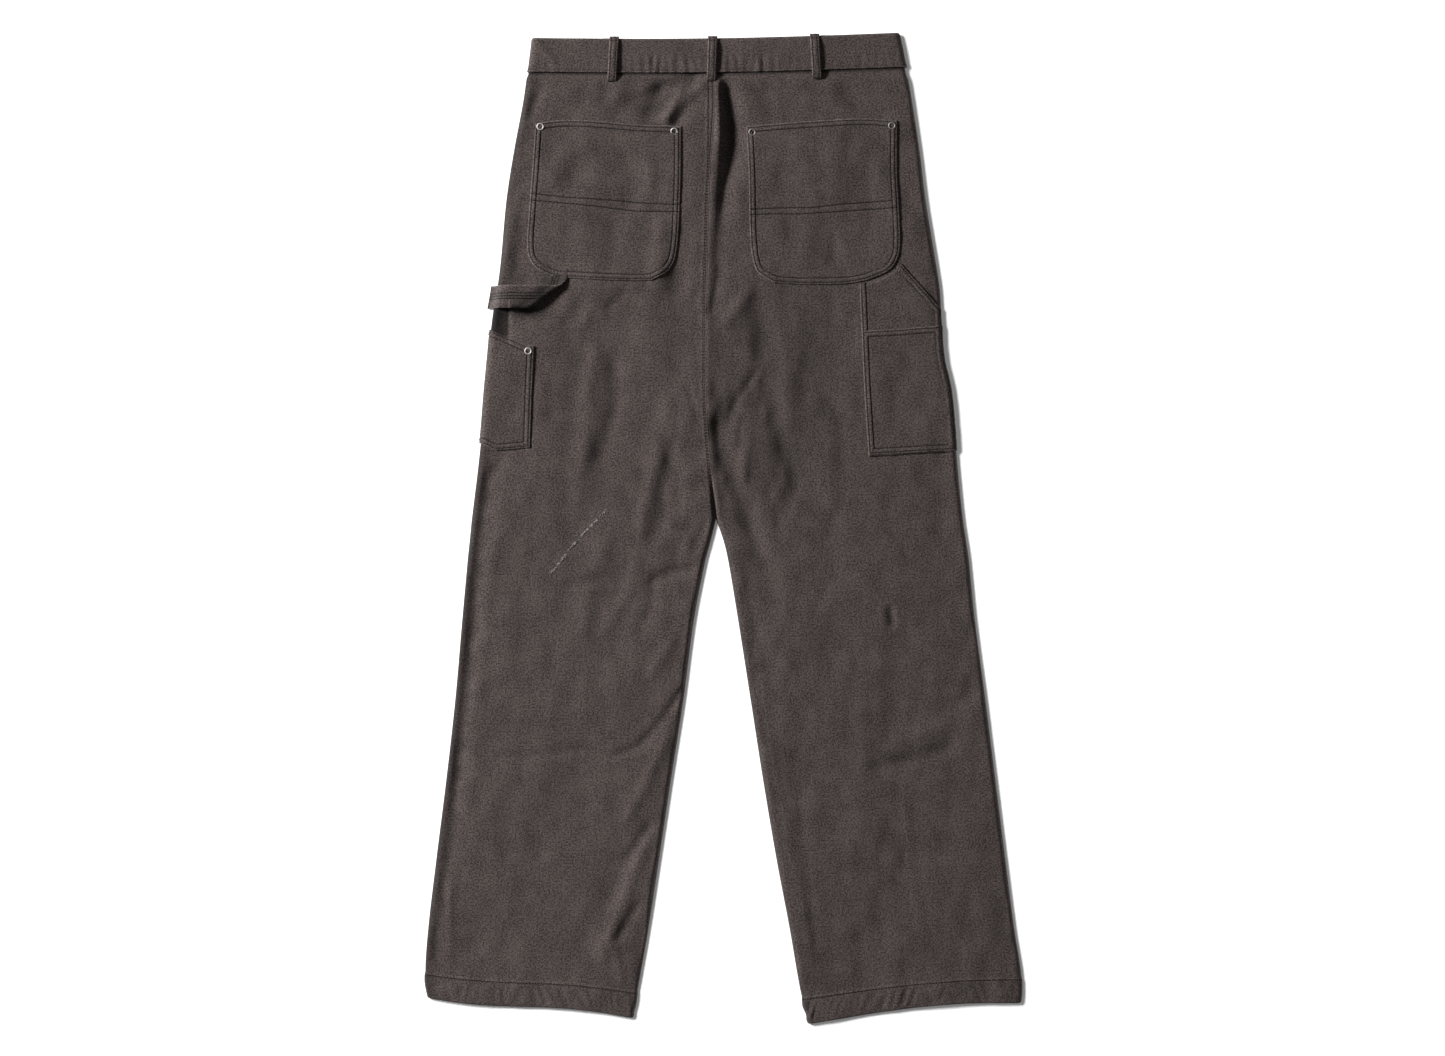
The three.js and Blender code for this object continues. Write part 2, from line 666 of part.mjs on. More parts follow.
function hammerLoop() {
  const leg = legs.left;
  const outer = [];
  const inner = [];
  for (const step of hammerLoopPath) {
    const outerRow = [];
    const innerRow = [];
    for (const across of [-0.5, -0.17, 0.17, 0.5]) {
      const y = step.y + across * hammerLoopWidth;
      const section = legSection(leg, mix(1, 0, (y - crotchY) / (leg.waistOutY - crotchY)));
      innerRow.push(wrapPoint(section, step.d, step.rise));
      outerRow.push(wrapPoint(section, step.d, step.rise + strapPly));
    }
    outer.push(outerRow);
    inner.push(innerRow);
  }
  return sheetSolid('hammer_loop', outer, inner, canvas);
}

// Height of the upper layer, over the band or over the seat below it
function upperHeight(x, y) {
  const u = (x - band.lower.leftX) / (band.lower.rightX - band.lower.leftX);
  const seamY = mix(band.lower.leftY, band.lower.rightY, u) - band.sag * Math.sin(Math.PI * u);
  if (y > seamY) {
    const section = bandSection(0.5);
    return tubePoint(section, 1, x - section.outX, 0).z;
  }
  return onLeg(x < readTable(sectionsAbove, 'y', 'leftIn', y) ? 'left' : 'right', x, y, 0).z;
}

function bandTopY(x) {
  const u = (x - band.upper.leftX) / (band.upper.rightX - band.upper.leftX);
  return mix(band.upper.leftY, band.upper.rightY, u) - band.sag * Math.sin(Math.PI * u);
}

function beltLoopBack(loop) {
  const topY = bandTopY(loop.x);
  const length = beltLoopPath[beltLoopPath.length - 1].drop;
  const outer = [];
  const inner = [];
  for (const step of beltLoopPath) {
    const outerRow = [];
    const innerRow = [];
    for (const across of [-0.5, 0, 0.5]) {
      const x = loop.x + across * beltLoopWidth - loop.slant * step.drop / length;
      const y = topY - step.drop;
      const ends = [-0.5, 0, 0.5].map((k) => upperHeight(loop.x + k * beltLoopWidth, y));
      const base = Math.max(...ends);
      innerRow.push(new THREE.Vector3(x, y, base + step.rise));
      outerRow.push(new THREE.Vector3(x, y, base + step.rise + strapPly));
    }
    outer.push(outerRow);
    inner.push(innerRow);
  }
  return sheetSolid(loop.name, outer, inner, canvas);
}

function beltLoopFront(loop) {
  const topY = bandTopY(loop.x) + 2;
  const shape = new THREE.BoxGeometry(beltLoopWidth, 49, band.lift - seamGap);
  shape.deleteAttribute('uv');
  shape.translate(loop.x, topY - 24.5, (band.lift - seamGap) / 2);
  const mesh = new THREE.Mesh(shape, canvas);
  mesh.name = loop.name;
  return mesh;
}

function flyStrip() {
  const outer = [];
  const inner = [];
  for (const t of evenly(10)) {
    const outerRow = [];
    const innerRow = [];
    for (const s of evenly(3)) {
      const x = mix(flyUnderlap.left, flyUnderlap.right, s);
      const y = mix(flyUnderlap.top, flyUnderlap.bottom, t);
      const section = legSection(legs.left, (seatSeamTopY - y) / (seatSeamTopY - crotchY));
      const base = section.lift + clothWall + seamGap;
      innerRow.push(new THREE.Vector3(x, y, base));
      outerRow.push(new THREE.Vector3(x, y, base + flyUnderlap.ply));
    }
    outer.push(outerRow);
    inner.push(innerRow);
  }
  return sheetSolid('fly_underlap', outer, inner, canvas);
}

// A round metal head turned about its axis and set on the cloth
function turnedHead(name, profile, position, axis) {
  const points = profile.map(([radius, height]) => new THREE.Vector2(radius, height));
  const shape = new THREE.LatheGeometry(points, 16);
  const head = new THREE.Mesh(shape, nickel);
  const turn = new THREE.Quaternion().setFromUnitVectors(new THREE.Vector3(0, 1, 0), axis);
  shape.applyQuaternion(turn);
  shape.translate(position.x, position.y, position.z);
  head.name = name;
  return head;
}

function rivet(item) {
  const out = seamGap + pocketPly;
  const step = 2;
  const here = onLeg(item.leg, item.x, item.y, out);
  const east = onLeg(item.leg, item.x + step, item.y, out).sub(onLeg(item.leg, item.x - step, item.y, out));
  const north = onLeg(item.leg, item.x, item.y + step, out).sub(onLeg(item.leg, item.x, item.y - step, out));
  const axis = east.cross(north).normalize();
  const profile = [
    [0, 0],
    [rivetRadius, 0],
    [rivetRadius, 0.5],
    [rivetRadius - 0.9, 0.9],
    [1.9, 0.6],
    [1.5, rivetHeight],
    [0, rivetHeight + 0.1],
  ];
  return turnedHead(item.name, profile, here.addScaledVector(axis, seamGap), axis);
}

function waistButton() {
  const y = bandTopY(frontCentreX) - bandHeight / 2;
  const profile = [
    [0, 0],
    [buttonRadius - 2.5, 0],
    [buttonRadius - 1.4, -0.3],
    [buttonRadius, 0.3],
    [buttonRadius, buttonHeight - 0.6],
    [buttonRadius - 0.8, buttonHeight - 0.3],
    [0, buttonHeight - 0.3],
  ].reverse();
  return turnedHead('waist_button', profile.map(([radius, height]) => [radius, -height]),
    new THREE.Vector3(frontCentreX, y, 0.3), new THREE.Vector3(0, 0, -1));
}

function trousers() {
  const group = new THREE.Group();
  group.name = 'canvas_work_trousers';
  group.add(legPanel('back_left', 'left', 1, backColumns));
  group.add(legPanel('back_right', 'right', 1, backColumns));
  group.add(legPanel('front_left', 'left', -1, frontColumns));
  group.add(legPanel('front_right', 'right', -1, frontColumns));
  group.add(waistband());
  backBeltLoops.forEach((loop) => group.add(beltLoopBack(loop)));
  frontBeltLoops.forEach((loop) => group.add(beltLoopFront(loop)));
  group.add(seatPocket('seat_pocket_left', seatPocketLeft));
  group.add(seatPocket('seat_pocket_right', seatPocketRight));
  group.add(wrappedToolPocket());
  group.add(hammerLoop());
  const ruleColumns = ruleUpperLevels.map((row) => row.s);
  group.add(rulePocket('rule_pocket_upper', ruleUpperLevels, ruleColumns, seamGap));
  group.add(rulePocket('rule_pocket_lower', ruleLowerLevels, evenly(6), 2 * seamGap + pocketPly));
  rivets.forEach((item) => group.add(rivet(item)));
  group.add(waistButton());
  group.add(flyStrip());
  return group;
}

// The garment stands centred over its own box, with its lowest face on the table
function centred(group) {
  const box = new THREE.Box3().setFromObject(group);
  const middle = box.getCenter(new THREE.Vector3());
  for (const mesh of group.children) {
    mesh.geometry.translate(-middle.x, -middle.y, -box.min.z);
  }
  return group;
}

export default centred(trousers());
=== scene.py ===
import json
import math

import bmesh
import bpy
import numpy as np
from mathutils import Matrix, Vector

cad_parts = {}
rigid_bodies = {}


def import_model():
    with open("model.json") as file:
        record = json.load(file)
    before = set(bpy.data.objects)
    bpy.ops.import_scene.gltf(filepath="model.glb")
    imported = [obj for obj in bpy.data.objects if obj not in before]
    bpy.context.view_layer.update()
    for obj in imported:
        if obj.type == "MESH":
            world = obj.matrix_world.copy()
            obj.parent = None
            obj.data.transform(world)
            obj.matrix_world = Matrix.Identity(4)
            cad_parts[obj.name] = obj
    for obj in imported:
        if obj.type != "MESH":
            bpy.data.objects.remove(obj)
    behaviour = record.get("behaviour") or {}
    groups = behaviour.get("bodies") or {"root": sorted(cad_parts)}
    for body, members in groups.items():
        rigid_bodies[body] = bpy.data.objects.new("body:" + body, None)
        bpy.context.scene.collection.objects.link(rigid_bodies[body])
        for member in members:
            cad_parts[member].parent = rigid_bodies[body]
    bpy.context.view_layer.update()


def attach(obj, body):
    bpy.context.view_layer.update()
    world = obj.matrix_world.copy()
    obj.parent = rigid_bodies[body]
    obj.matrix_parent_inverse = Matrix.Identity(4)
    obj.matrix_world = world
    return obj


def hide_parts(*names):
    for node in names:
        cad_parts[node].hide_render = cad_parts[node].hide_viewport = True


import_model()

# Sizes below are millimetres on the laid garment; the drawing's zero sits here in the frame
MM = 0.001
DRAWING_X = 0.68
DRAWING_Y = 0.70

# Cloth
CLOTH_WALL = 1.4
POCKET_PLY = 1.6
BAND_WALL = 2.2
STRAP_PLY = 1.6
PRESSED_PLY = 1.2
TABLE_TOUCH = 0.15
CREASE_DEPTH = 1.15
CREASE_SHADE = 0.05
GATHER_PITCH = 10.5
FELL_NARROW = 4.2
FELL_WIDE = 7.2
LOOP_WIDTH = 10.5
LOOP_LENGTH = 47.5
FRONT_LOOP_LENGTH = 49
STRAP_WIDTH = 25.0
STRAP_FOLD = 4.4
STRAP_DROOP = 3.0
FLY_WIDTH = 52
FLY_LENGTH = 159

# Sewing
STITCH_LENGTH = 2.1
STITCH_PITCH = 3.3
STITCH_RADIUS = 0.5
STITCH_RISE = 0.12
OUTER_ROW = 2.3
INNER_ROW = 7.0
HEM_ROW = 26.0
LOOP_ROW = 2.9
FRAYED_RADIUS = 0.24
FRAYED_COUNT = 150

# Levels where the garment changes
SEAT_SEAM_TOP = 501.8
CROTCH = 9.9
CROTCH_ROLL_START = 0.87
EDGE_FADE = 6.0
SIDE_LIFT_NEAR = 72.0
SIDE_LIFT_FAR = 150.0

# Photograph
PHOTO_WIDTH = 1445
PHOTO_PIXEL = 1.1
PHOTO_CENTRE_X = -1.65
LENS = 90.0
SENSOR = 36.0


# Dye and light
DYE_DARK = (0.0215, 0.0162, 0.0149, 1)
DYE_PALE = (0.0895, 0.0702, 0.0643, 1)
# How far each point's value of wear, painted highlights and painted shade moves the dye
WEAR_AND_PAINTED_LIGHT_STRENGTH = 0.9
SKY_LIGHT = 0.16
FLOOR_GLOW = 0.12
LAMPS = {
    "key": dict(place=(-3.1, 1.2, 1.8), aim=(-0.3, -1.6, 0), size=0.85, energy=350),
    "floor softbox": dict(place=(-1.7, 0.9, 3.1), aim=(0, 0, 0), size=1.2, energy=260),
}


def table(columns, *rows):
    names = columns.split()
    filled = [row + (0.0,) * (len(names) - len(row)) for row in rows]
    return {name: np.array(values, float) for name, values in zip(names, zip(*filled))}


OUTLINE = table(
    "y left_out left_in right_in right_out",
    (506, -215.8, -13, -13, 200.2),
    (470, -220.8, -11.2, -11.2, 206.8),
    (416, -231, -14.3, -14.3, 215.1),
    (361, -239.5, -17.1, -17.1, 221.9),
    (295, -245.6, -18.9, -18.9, 232.7),
    (262, -249.7, -19.7, -19.7, 237.6),
    (229, -255.2, -20.3, -20.3, 239.3),
    (190, -258.9, -20.6, -20.6, 241.6),
    (152, -262.6, -20.4, -20.4, 249.7),
    (108, -266.2, -18.3, -18.3, 254.1),
    (66, -270.6, -14.9, -14.9, 257.2),
    (9.9, -277.6, -8.8, -8.8, 262.9),
    (-14, -280, -14.5, -0.6, 266.5),
    (-35, -282.2, -20.2, 4.4, 269.5),
    (-101, -288.2, -33, 15.4, 276.1),
    (-189, -295.9, -44.6, 29.2, 287.7),
    (-277, -305.8, -58.3, 42.9, 298.7),
    (-365, -316.8, -71.5, 57.8, 309.7),
    (-442, -325.8, -83.3, 72.4, 319.6),
    (-492, -328.9, -92, 80.9, 327.3),
    (-517, -325.6, -96.6, 85.8, 326.8),
    (-546, -321, -101.6, 93, 324.5),
)
THICKNESS = table(
    "v roll lift crown",
    (0, 6.0, 2.4, 0.3), (0.035, 6.1, 2.3, 0.5), (0.13, 6.5, 0.3, 1.0), (0.2, 6.5, 0, 1.3),
    (0.5, 6.0, 0, 1.6), (1, 5.4, 0, 1.4), (1.5, 5.0, 0, 1.0), (2, 4.8, 0, 0.6),
)
LEGS = {
    "left": dict(
        out="left_out", inner="left_in", inward=1,
        waist_y=503, hem_out_y=-517, hem_in_y=-539, hem_bow=1.2, hem_skew=-2.6, side_lift=2.2,
    ),
    "right": dict(
        out="right_out", inner="right_in", inward=-1,
        waist_y=508.5, hem_out_y=-522.5, hem_in_y=-545.6, hem_bow=6.5, hem_skew=0.8, side_lift=0,
    ),
}

# Creases as they lie: ends, half width, height and, where one side is steep, its lean to the left
SEAT_CREASES = table(
    "x1 y1 x2 y2 width height lean",
    (0, 488, 4, 470, 8, -5.5, -0.25),
    (4, 470, 8, 442, 10, -8.0, -0.25),
    (8, 442, 9, 420, 11, -8.8, -0.25),
    (9, 420, 6, 398, 10, -7.5, -0.25),
    (6, 398, 0, 374, 8.5, -4.5, -0.25),
    (0, 374, -4, 340, 7, -2.2, -0.2),
    (-4, 340, -8, 285, 6, -0.8, -0.2),
    (-4, 290, -9, 262, 5.5, -1.5, -0.2),
    (-9, 262, -15, 234, 5.5, -2.0, -0.2),
    (-6, 492, -6, 430, 5.0, 3.0),
    (-6, 430, -9, 392, 4.5, 2.6),
    (-9, 392, -14, 300, 7.0, 1.3),
    (-14, 300, -16.5, 190, 7.0, 1.2),
    (-16.5, 190, -15, 108, 7.0, 1.1),
    (-15, 108, -7, 20, 5.5, 1.0),
    (-121, 456, -96, 470, 10, -2.2),
    (-66, 486, -84, 454, 8, -2.8),
    (-124, 490, -134, 462, 9, -2.0),
    (-178, 440, -196, 400, 14, -1.6),
    (-48, 330, -56, 250, 13, -2.0),
    (-70, 340, -72, 270, 10, 1.4),
    (44, 486, 52, 440, 12, -1.6),
    (76, 492, 96, 462, 12, 1.4),
    (130, 490, 150, 460, 12, -1.4),
    (60, 400, 76, 300, 16, -1.6),
    (150, 400, 160, 320, 16, -1.3),
    (-140, 300, -150, 250, 14, 1.0),
    (-96, 470, -62, 487, 8, -2.4, 0.2),
    (-62, 487, -28, 497, 7, -2.2, 0.2),
    (-30, 490, -58, 470, 6, -2.6),
    (-58, 470, -78, 452, 7, -2.0),
    (-88, 464, -84, 442, 9, -1.2),
    (-66, 446, -46, 482, 6, 2.8),
    (-50, 478, -22, 488, 6, 1.6),
    (-56, 440, -40, 464, 6, -2.6),
    (-40, 464, -26, 474, 5, -1.2),
    (-160, 486, -186, 462, 14, 1.0),
    (-204, 478, -214, 450, 6, -1.6),
    (-224, 372, -239, 296, 5, 0.9),
    (-219, 330, -229, 280, 6, -1.0),
    (-157, 415, -172, 365, 13, -1.8),
    (-103, 415, -102, 342, 12, -1.8),
    (-82, 405, -80, 365, 8, 0.7),
    (-121, 335, -120, 285, 12, -1.4),
    (105, 403, 108, 375, 11, -1.2),
    (70, 339, 73, 318, 6, -0.9),
    (123, 318, 119, 289, 6, -0.9),
    (98, 332, 90, 303, 8, 0.7),
)
THIGH_CREASES = table(
    "x1 y1 x2 y2 width height lean",
    (-236.5, 246, -237, 206, 7.0, -3.4, 0.78),
    (-160, 246, -175, 221, 7, -1.4),
    (-107, 262, -129, 239, 6, -1.4),
    (-143, 250, -157, 218, 6, 0.9),
    (-32, 262, -31, 245, 4, -0.8),
    (30, 262, 0, 222, 8, 1.8),
    (36, 262, 44, 180, 14, -3.4),
    (85, 250, 95, 10, 55, -4.0),
    (37, 173, 12, 136, 5, -2.2, 0.3),
    (12, 136, 5, 112, 6, -2.2),
    (-7, 124, -2, 78, 11, -3.6, -0.2),
    (-2, 78, 14, 42, 11, -4.2, -0.2),
    (14, 42, 36, -24, 9, -2.6),
    (36, -24, 48, -44, 7, -1.2),
    (41, 172, 58, 112, 9, -2.2, -0.2),
    (58, 112, 69, 77, 8, -3.0, -0.2),
    (69, 77, 80, 36, 9, -2.4),
    (24, 112, 27, 48, 9, 1.8),
    (62, 160, 78, 110, 12, 1.2),
    (20, 210, 24, 180, 10, 1.2),
    (44, 20, 56, -30, 12, 1.4),
    (68, 182, 91, 110, 11, 1.2),
    (91, 110, 119, 20, 11, 1.0),
    (84, 197, 80, 170, 7, 0.8),
    (103, 157, 127, 122, 8, -1.0),
    (127, 122, 131, 62, 9, -0.9),
    (-142, 205, -154, 78, 9, 1.6),
    (-154, 78, -168, 10, 10, 1.2),
    (-190, 170, -190, 118, 8, -1.2),
    (-122, 189, -119, 134, 9, -1.8),
    (-119, 134, -139, 70, 9, -2.2),
    (-63, 146, -75, 78, 8, 1.2),
    (-75, 78, -92, -10, 8, 1.3),
    (-55, 98, -67, 22, 8, -2.0),
    (-67, 22, -75, -13, 8, -1.8),
    (-40, 157, -28, 118, 4, -1.0),
    (-243, 80, -252, 58, 6, -1.2),
    (22, -40, 37, -128, 5, -0.8),
    (99, -41, 119, -64, 8, -0.7),
)
KNEE_CREASES = table(
    "x1 y1 x2 y2 width height lean",
    (-95, -24, -99, -64, 7, 0.9),
    (-99, -64, -138, -118, 8, 0.9),
    (-176, -34, -172, -48, 10, 0.9),
    (-174, -64, -134, -54, 6, -1.1),
    (-134, -54, -107, -57, 6, -1.0),
    (-79, -57, -60, -49, 6, -2.0),
    (-60, -49, -33, -45, 6, -2.2),
    (-79, -57, -80, -86, 5, -1.3),
    (-80, -86, -96, -120, 6, -0.8),
    (-55, -98, -38, -84, 8, 1.0),
    (-60, -14, -36, -10, 7, 0.8),
    (-35, -29, -21, 6, 5, -1.2),
    (-258, 62, -269, -9, 6.5, -2.0),
    (-269, -9, -278, -120, 6.5, -2.2),
    (-278, -120, -288, -213, 6, -2.0),
    (-288, -213, -296, -294, 6, -1.8),
    (-296, -294, -305, -372, 6, -1.5),
    (-305, -372, -314, -440, 6, -1.0),
    (-243, 40, -256, -48, 7, 0.6),
    (-256, -48, -264, -123, 7, 0.7),
    (-264, -123, -270, -213, 7, 0.7),
    (-270, -213, -286, -326, 7, 0.6),
    (-250, -251, -200, -249, 5, -0.8),
    (-200, -249, -155, -242, 5, -0.9),
    (-155, -242, -124, -251, 5, -1.3),
    (-124, -251, -93, -240, 5, -1.8),
    (-93, -240, -66, -209, 5.5, -2.2),
    (-66, -209, -44, -175, 4.5, -2.2),
    (-48, -106, -84, -168, 7, 1.1),
    (-62, -227, -84, -276, 7, 1.4),
    (-84, -276, -107, -321, 7, 1.2),
    (-138, -22, -155, -121, 9, 0.7),
    (-102, -26, -124, -90, 7, -0.8),
    (183, -86, 187, -108, 4, -2.6, 0.4),
    (174, -90, 176, -106, 5, 0.9),
    (162, -263, 202, -256, 8, -2.0),
    (202, -256, 252, -240, 9, -3.0),
    (190, -236, 247, -214, 9, 1.5),
    (243, -196, 274, -184, 7, -1.0),
    (42, -152, 58, -165, 6, -0.6),
    (153, -101, 153, -205, 7, 0.6),
)
SHIN_CREASES = table(
    "x1 y1 x2 y2 width height lean",
    (-79, -323, -107, -366, 6, -1.9),
    (-84, -340, -108, -400, 8, 2.0),
    (-92, -410, -120, -456, 6, -1.9),
    (-108, -400, -136, -478, 9, 2.2),
    (-283, -455, -268, -466, 8, -1.3),
    (-301, -393, -301, -470, 3.5, 0.8),
    (-316, -440, -317, -478, 5, -1.0),
    (-291, -452, -276, -459, 3, -0.8),
    (-121, -456, -112, -500, 4, 1.0),
    (198, -302, 207, -383, 5, 0.7),
    (207, -383, 220, -459, 5, 0.7),
    (36, -120, 55, -258, 3.5, 0.4),
    (55, -258, 95, -460, 3.5, 0.45),
    (81, -289, 104, -482, 5, -0.7),
)


def joined(*tables):
    """Creases whose ends meet, gathered into one bent crease."""
    chains = []
    for creases in tables:
        for row in zip(*creases.values()):
            if chains and chains[-1][-1][2:4] == row[:2]:
                chains[-1].append(row)
            else:
                chains.append([row])
    return chains


CREASES = joined(SEAT_CREASES, THIGH_CREASES, KNEE_CREASES, SHIN_CREASES)


def mix(a, b, t):
    return a + (b - a) * t


def ease(start, end, value):
    t = np.clip((np.asarray(value, float) - start) / (end - start), 0, 1)
    return t * t * (3 - 2 * t)


def bell(value, centre, width):
    return np.exp(-(((np.asarray(value, float) - centre) / width) ** 2))


def read_column(rows, along, name, at):
    keys, values = rows[along], rows[name]
    if keys[0] > keys[-1]:
        keys, values = keys[::-1], values[::-1]
    slopes = np.empty_like(values)
    slopes[1:-1] = (values[2:] - values[:-2]) / (keys[2:] - keys[:-2])
    slopes[0] = (values[1] - values[0]) / (keys[1] - keys[0])
    slopes[-1] = (values[-1] - values[-2]) / (keys[-1] - keys[-2])
    at = np.asarray(at, float)
    i = np.clip(np.searchsorted(keys, at) - 1, 0, len(keys) - 2)
    span = keys[i + 1] - keys[i]
    t = np.clip((at - keys[i]) / span, 0, 1)
    return (
        values[i] * (2 * t**3 - 3 * t**2 + 1)
        + slopes[i] * span * (t**3 - 2 * t**2 + t)
        + values[i + 1] * (3 * t**2 - 2 * t**3)
        + slopes[i + 1] * span * (t**3 - t**2)
    )


def soft_noise(x, y, cell_x, cell_y, seed):
    """Smooth unevenness from -1 to 1, the same on each run."""
    lattice = np.random.RandomState(seed).uniform(-1, 1, (256, 256))
    gx, gy = np.asarray(x) / cell_x + 90, np.asarray(y) / cell_y + 90
    ix, iy = np.floor(gx).astype(int), np.floor(gy).astype(int)
    fx, fy = gx - ix, gy - iy
    fx, fy = fx * fx * (3 - 2 * fx), fy * fy * (3 - 2 * fy)
    ix, iy = ix % 255, iy % 255
    low = mix(lattice[iy, ix], lattice[iy, ix + 1], fx)
    high = mix(lattice[iy + 1, ix], lattice[iy + 1, ix + 1], fx)
    return mix(low, high, fy)


def crease_height(x, y):
    total = np.zeros_like(x)
    for chain in CREASES:
        rows = np.array(chain)
        reach = 3 * rows[:, 4].max()
        near = (x > rows[:, [0, 2]].min() - reach) & (x < rows[:, [0, 2]].max() + reach)
        near &= (y > rows[:, [1, 3]].min() - reach) & (y < rows[:, [1, 3]].max() + reach)
        if near.any():
            total[near] += one_crease(rows, x[near], y[near])
    return CREASE_DEPTH * total


def one_crease(rows, x, y):
    """Height of a bent crease, read from its nearest stretch and faded out at its two ends."""
    last = len(rows) - 1
    nearest = np.full_like(x, 1e9)
    height = np.zeros_like(x)
    for i, (x1, y1, x2, y2, _, _, lean) in enumerate(rows):
        run_x, run_y = x2 - x1, y2 - y1
        length = math.hypot(run_x, run_y)
        along = ((x - x1) * run_x + (y - y1) * run_y) / length
        across = ((x - x1) * run_y - (y - y1) * run_x) / length
        t = np.clip(along / length, 0, 1)
        before, after = rows[max(i - 1, 0)], rows[min(i + 1, last)]
        width, rise = (
            mix((before[k] + rows[i][k]) / 2, (after[k] + rows[i][k]) / 2, t) for k in (4, 5)
        )
        past = along - t * length
        distance = np.hypot(past, across)
        fade = ease(-width, width, along) if i == 0 else 1
        fade = fade * (ease(-width, width, length - along) if i == last else 1)
        past = np.where((past < 0) & (i == 0) | (past > 0) & (i == last), 0, past)
        side = width * np.where(across > 0, 1 + lean, 1 - lean)
        here = rise * fade * np.exp(-((np.hypot(past, across) / side) ** 2))
        height = np.where(distance < nearest, here, height)
        nearest = np.minimum(nearest, distance)
    return height


ABOVE_CROTCH = {name: values[OUTLINE["y"] >= CROTCH] for name, values in OUTLINE.items()}
BELOW_CROTCH = {name: values[OUTLINE["y"] <= CROTCH] for name, values in OUTLINE.items()}


def outline_x(edge, y):
    return read_column(OUTLINE, "y", edge, y)


def inner_edge(leg, y):
    above = read_column(ABOVE_CROTCH, "y", leg["inner"], y)
    return np.where(np.asarray(y) >= CROTCH, above, read_column(BELOW_CROTCH, "y", leg["inner"], y))


def leg_section(leg, v):
    v = np.asarray(v, float)
    below = v > 1
    t = np.where(below, v - 1, v)
    out_y = np.where(below, mix(CROTCH, leg["hem_out_y"], t), mix(leg["waist_y"], CROTCH, t))
    in_y = np.where(below, mix(CROTCH, leg["hem_in_y"], t), mix(SEAT_SEAM_TOP, CROTCH, t))
    side_lift = leg["side_lift"] * ease(296, 236, out_y) * ease(12, 72, out_y)
    return dict(
        out_x=outline_x(leg["out"], out_y),
        out_y=out_y,
        in_x=inner_edge(leg, in_y),
        in_y=in_y,
        roll=read_column(THICKNESS, "v", "roll", v),
        lift=np.maximum(read_column(THICKNESS, "v", "lift", v), 0),
        side_lift=side_lift,
        crown=read_column(THICKNESS, "v", "crown", v),
        inner_roll=ease(CROTCH_ROLL_START, 1, v),
        bow=np.where(below, leg["hem_bow"] * t**4, 0),
        skew=np.where(below, leg["hem_skew"] * t**4, 0),
        creased=1.0,
    )


def section_width(section):
    return np.hypot(section["in_x"] - section["out_x"], section["in_y"] - section["out_y"])


def hem_bend(section, u):
    """How far a line across the leg bows and slants off the straight."""
    return section["bow"] * np.sin(np.pi * u) + section["skew"] * np.sin(2 * np.pi * u)


def tube_point(section, side, offset, out):
    """Point of the flattened tube, moved off the cloth by out; side is 1 above and -1 below."""
    dx = section["in_x"] - section["out_x"]
    dy = section["in_y"] - section["out_y"]
    width = np.hypot(dx, dy)
    edge = width - offset
    roll = section["roll"]
    outer_cos = np.clip(1 - offset / roll, 0, 1)
    inner_cos = np.clip(1 - edge / roll, 0, 1)
    outer_sin = np.sqrt(1 - outer_cos**2)
    inner_sin = np.sqrt(1 - inner_cos**2)
    inner_shift = np.minimum(1, 2 * section["inner_roll"])
    u = (offset - out * outer_cos + out * inner_shift * inner_cos) / width
    x = section["out_x"] + dx * u
    y = section["out_y"] + dy * u + hem_bend(section, u)
    full = outer_sin * (1 - section["inner_roll"] * (1 - inner_sin))
    lift = section["lift"] + section["side_lift"] * ease(SIDE_LIFT_FAR, SIDE_LIFT_NEAR, offset)
    z = lift + roll + 0.15 + side * (roll + out) * full
    fade = ease(0, EDGE_FADE, offset) * (1 - section["inner_roll"] * ease(EDGE_FADE, 0, edge))
    sway = section["crown"] + section["creased"] * (crease_height(x, y) + slack(x, y))
    z = z + np.where(side > 0, fade * sway, 0)
    return x, y, z


def slack(x, y):
    """The slight unevenness of washed cloth that lies loose, less where the band holds it."""
    held = ease(504, 486, y)
    crumpled = 1.7 * bell(x, 30, 45) * bell(y, 90, 95) + 0.8 * bell(x, -60, 30) * bell(y, 40, 80)
    return held * (
        1.8 * soft_noise(x, y, 40, 66, 3)
        + 0.85 * soft_noise(x, y, 17, 30, 5)
        + (0.3 + crumpled) * soft_noise(x, y, 10, 19, 8)
    )


def arc_to_offset(distance, width, roll):
    quarter = roll * np.pi / 2
    total = width - 2 * roll + 2 * quarter
    rest = total - distance
    return np.where(
        distance < quarter,
        roll * (1 - np.cos(distance / roll)),
        np.where(
            rest < quarter,
            width - roll * (1 - np.cos(rest / roll)),
            roll + distance - quarter,
        ),
    )


def find_on_leg(leg, x, y):
    """The section and offset that lie over a place on the table."""
    x, y = np.asarray(x, float), np.asarray(y, float)
    fall_up, fall_down = leg["waist_y"] - CROTCH, CROTCH - leg["hem_out_y"]
    v = np.where(y > CROTCH, (leg["waist_y"] - y) / fall_up, 1 + (CROTCH - y) / fall_down)
    for _ in range(6):
        section = leg_section(leg, v)
        u = (x - section["out_x"]) / (section["in_x"] - section["out_x"])
        line_y = mix(section["out_y"], section["in_y"], u) + hem_bend(section, u)
        v = np.clip(v + (line_y - y) / np.where(v > 1, fall_down, fall_up), 0, 2)
    section = leg_section(leg, v)
    u = (x - section["out_x"]) / (section["in_x"] - section["out_x"])
    return section, u * section_width(section), v


def on_leg(leg_name, x, y, out):
    section, offset, _ = find_on_leg(LEGS[leg_name], x, y)
    return tube_point(section, 1, offset, out)


# Pieces


def to_frame(x, y, z):
    return np.column_stack([(x + DRAWING_X) * MM, (y + DRAWING_Y) * MM, z * MM])


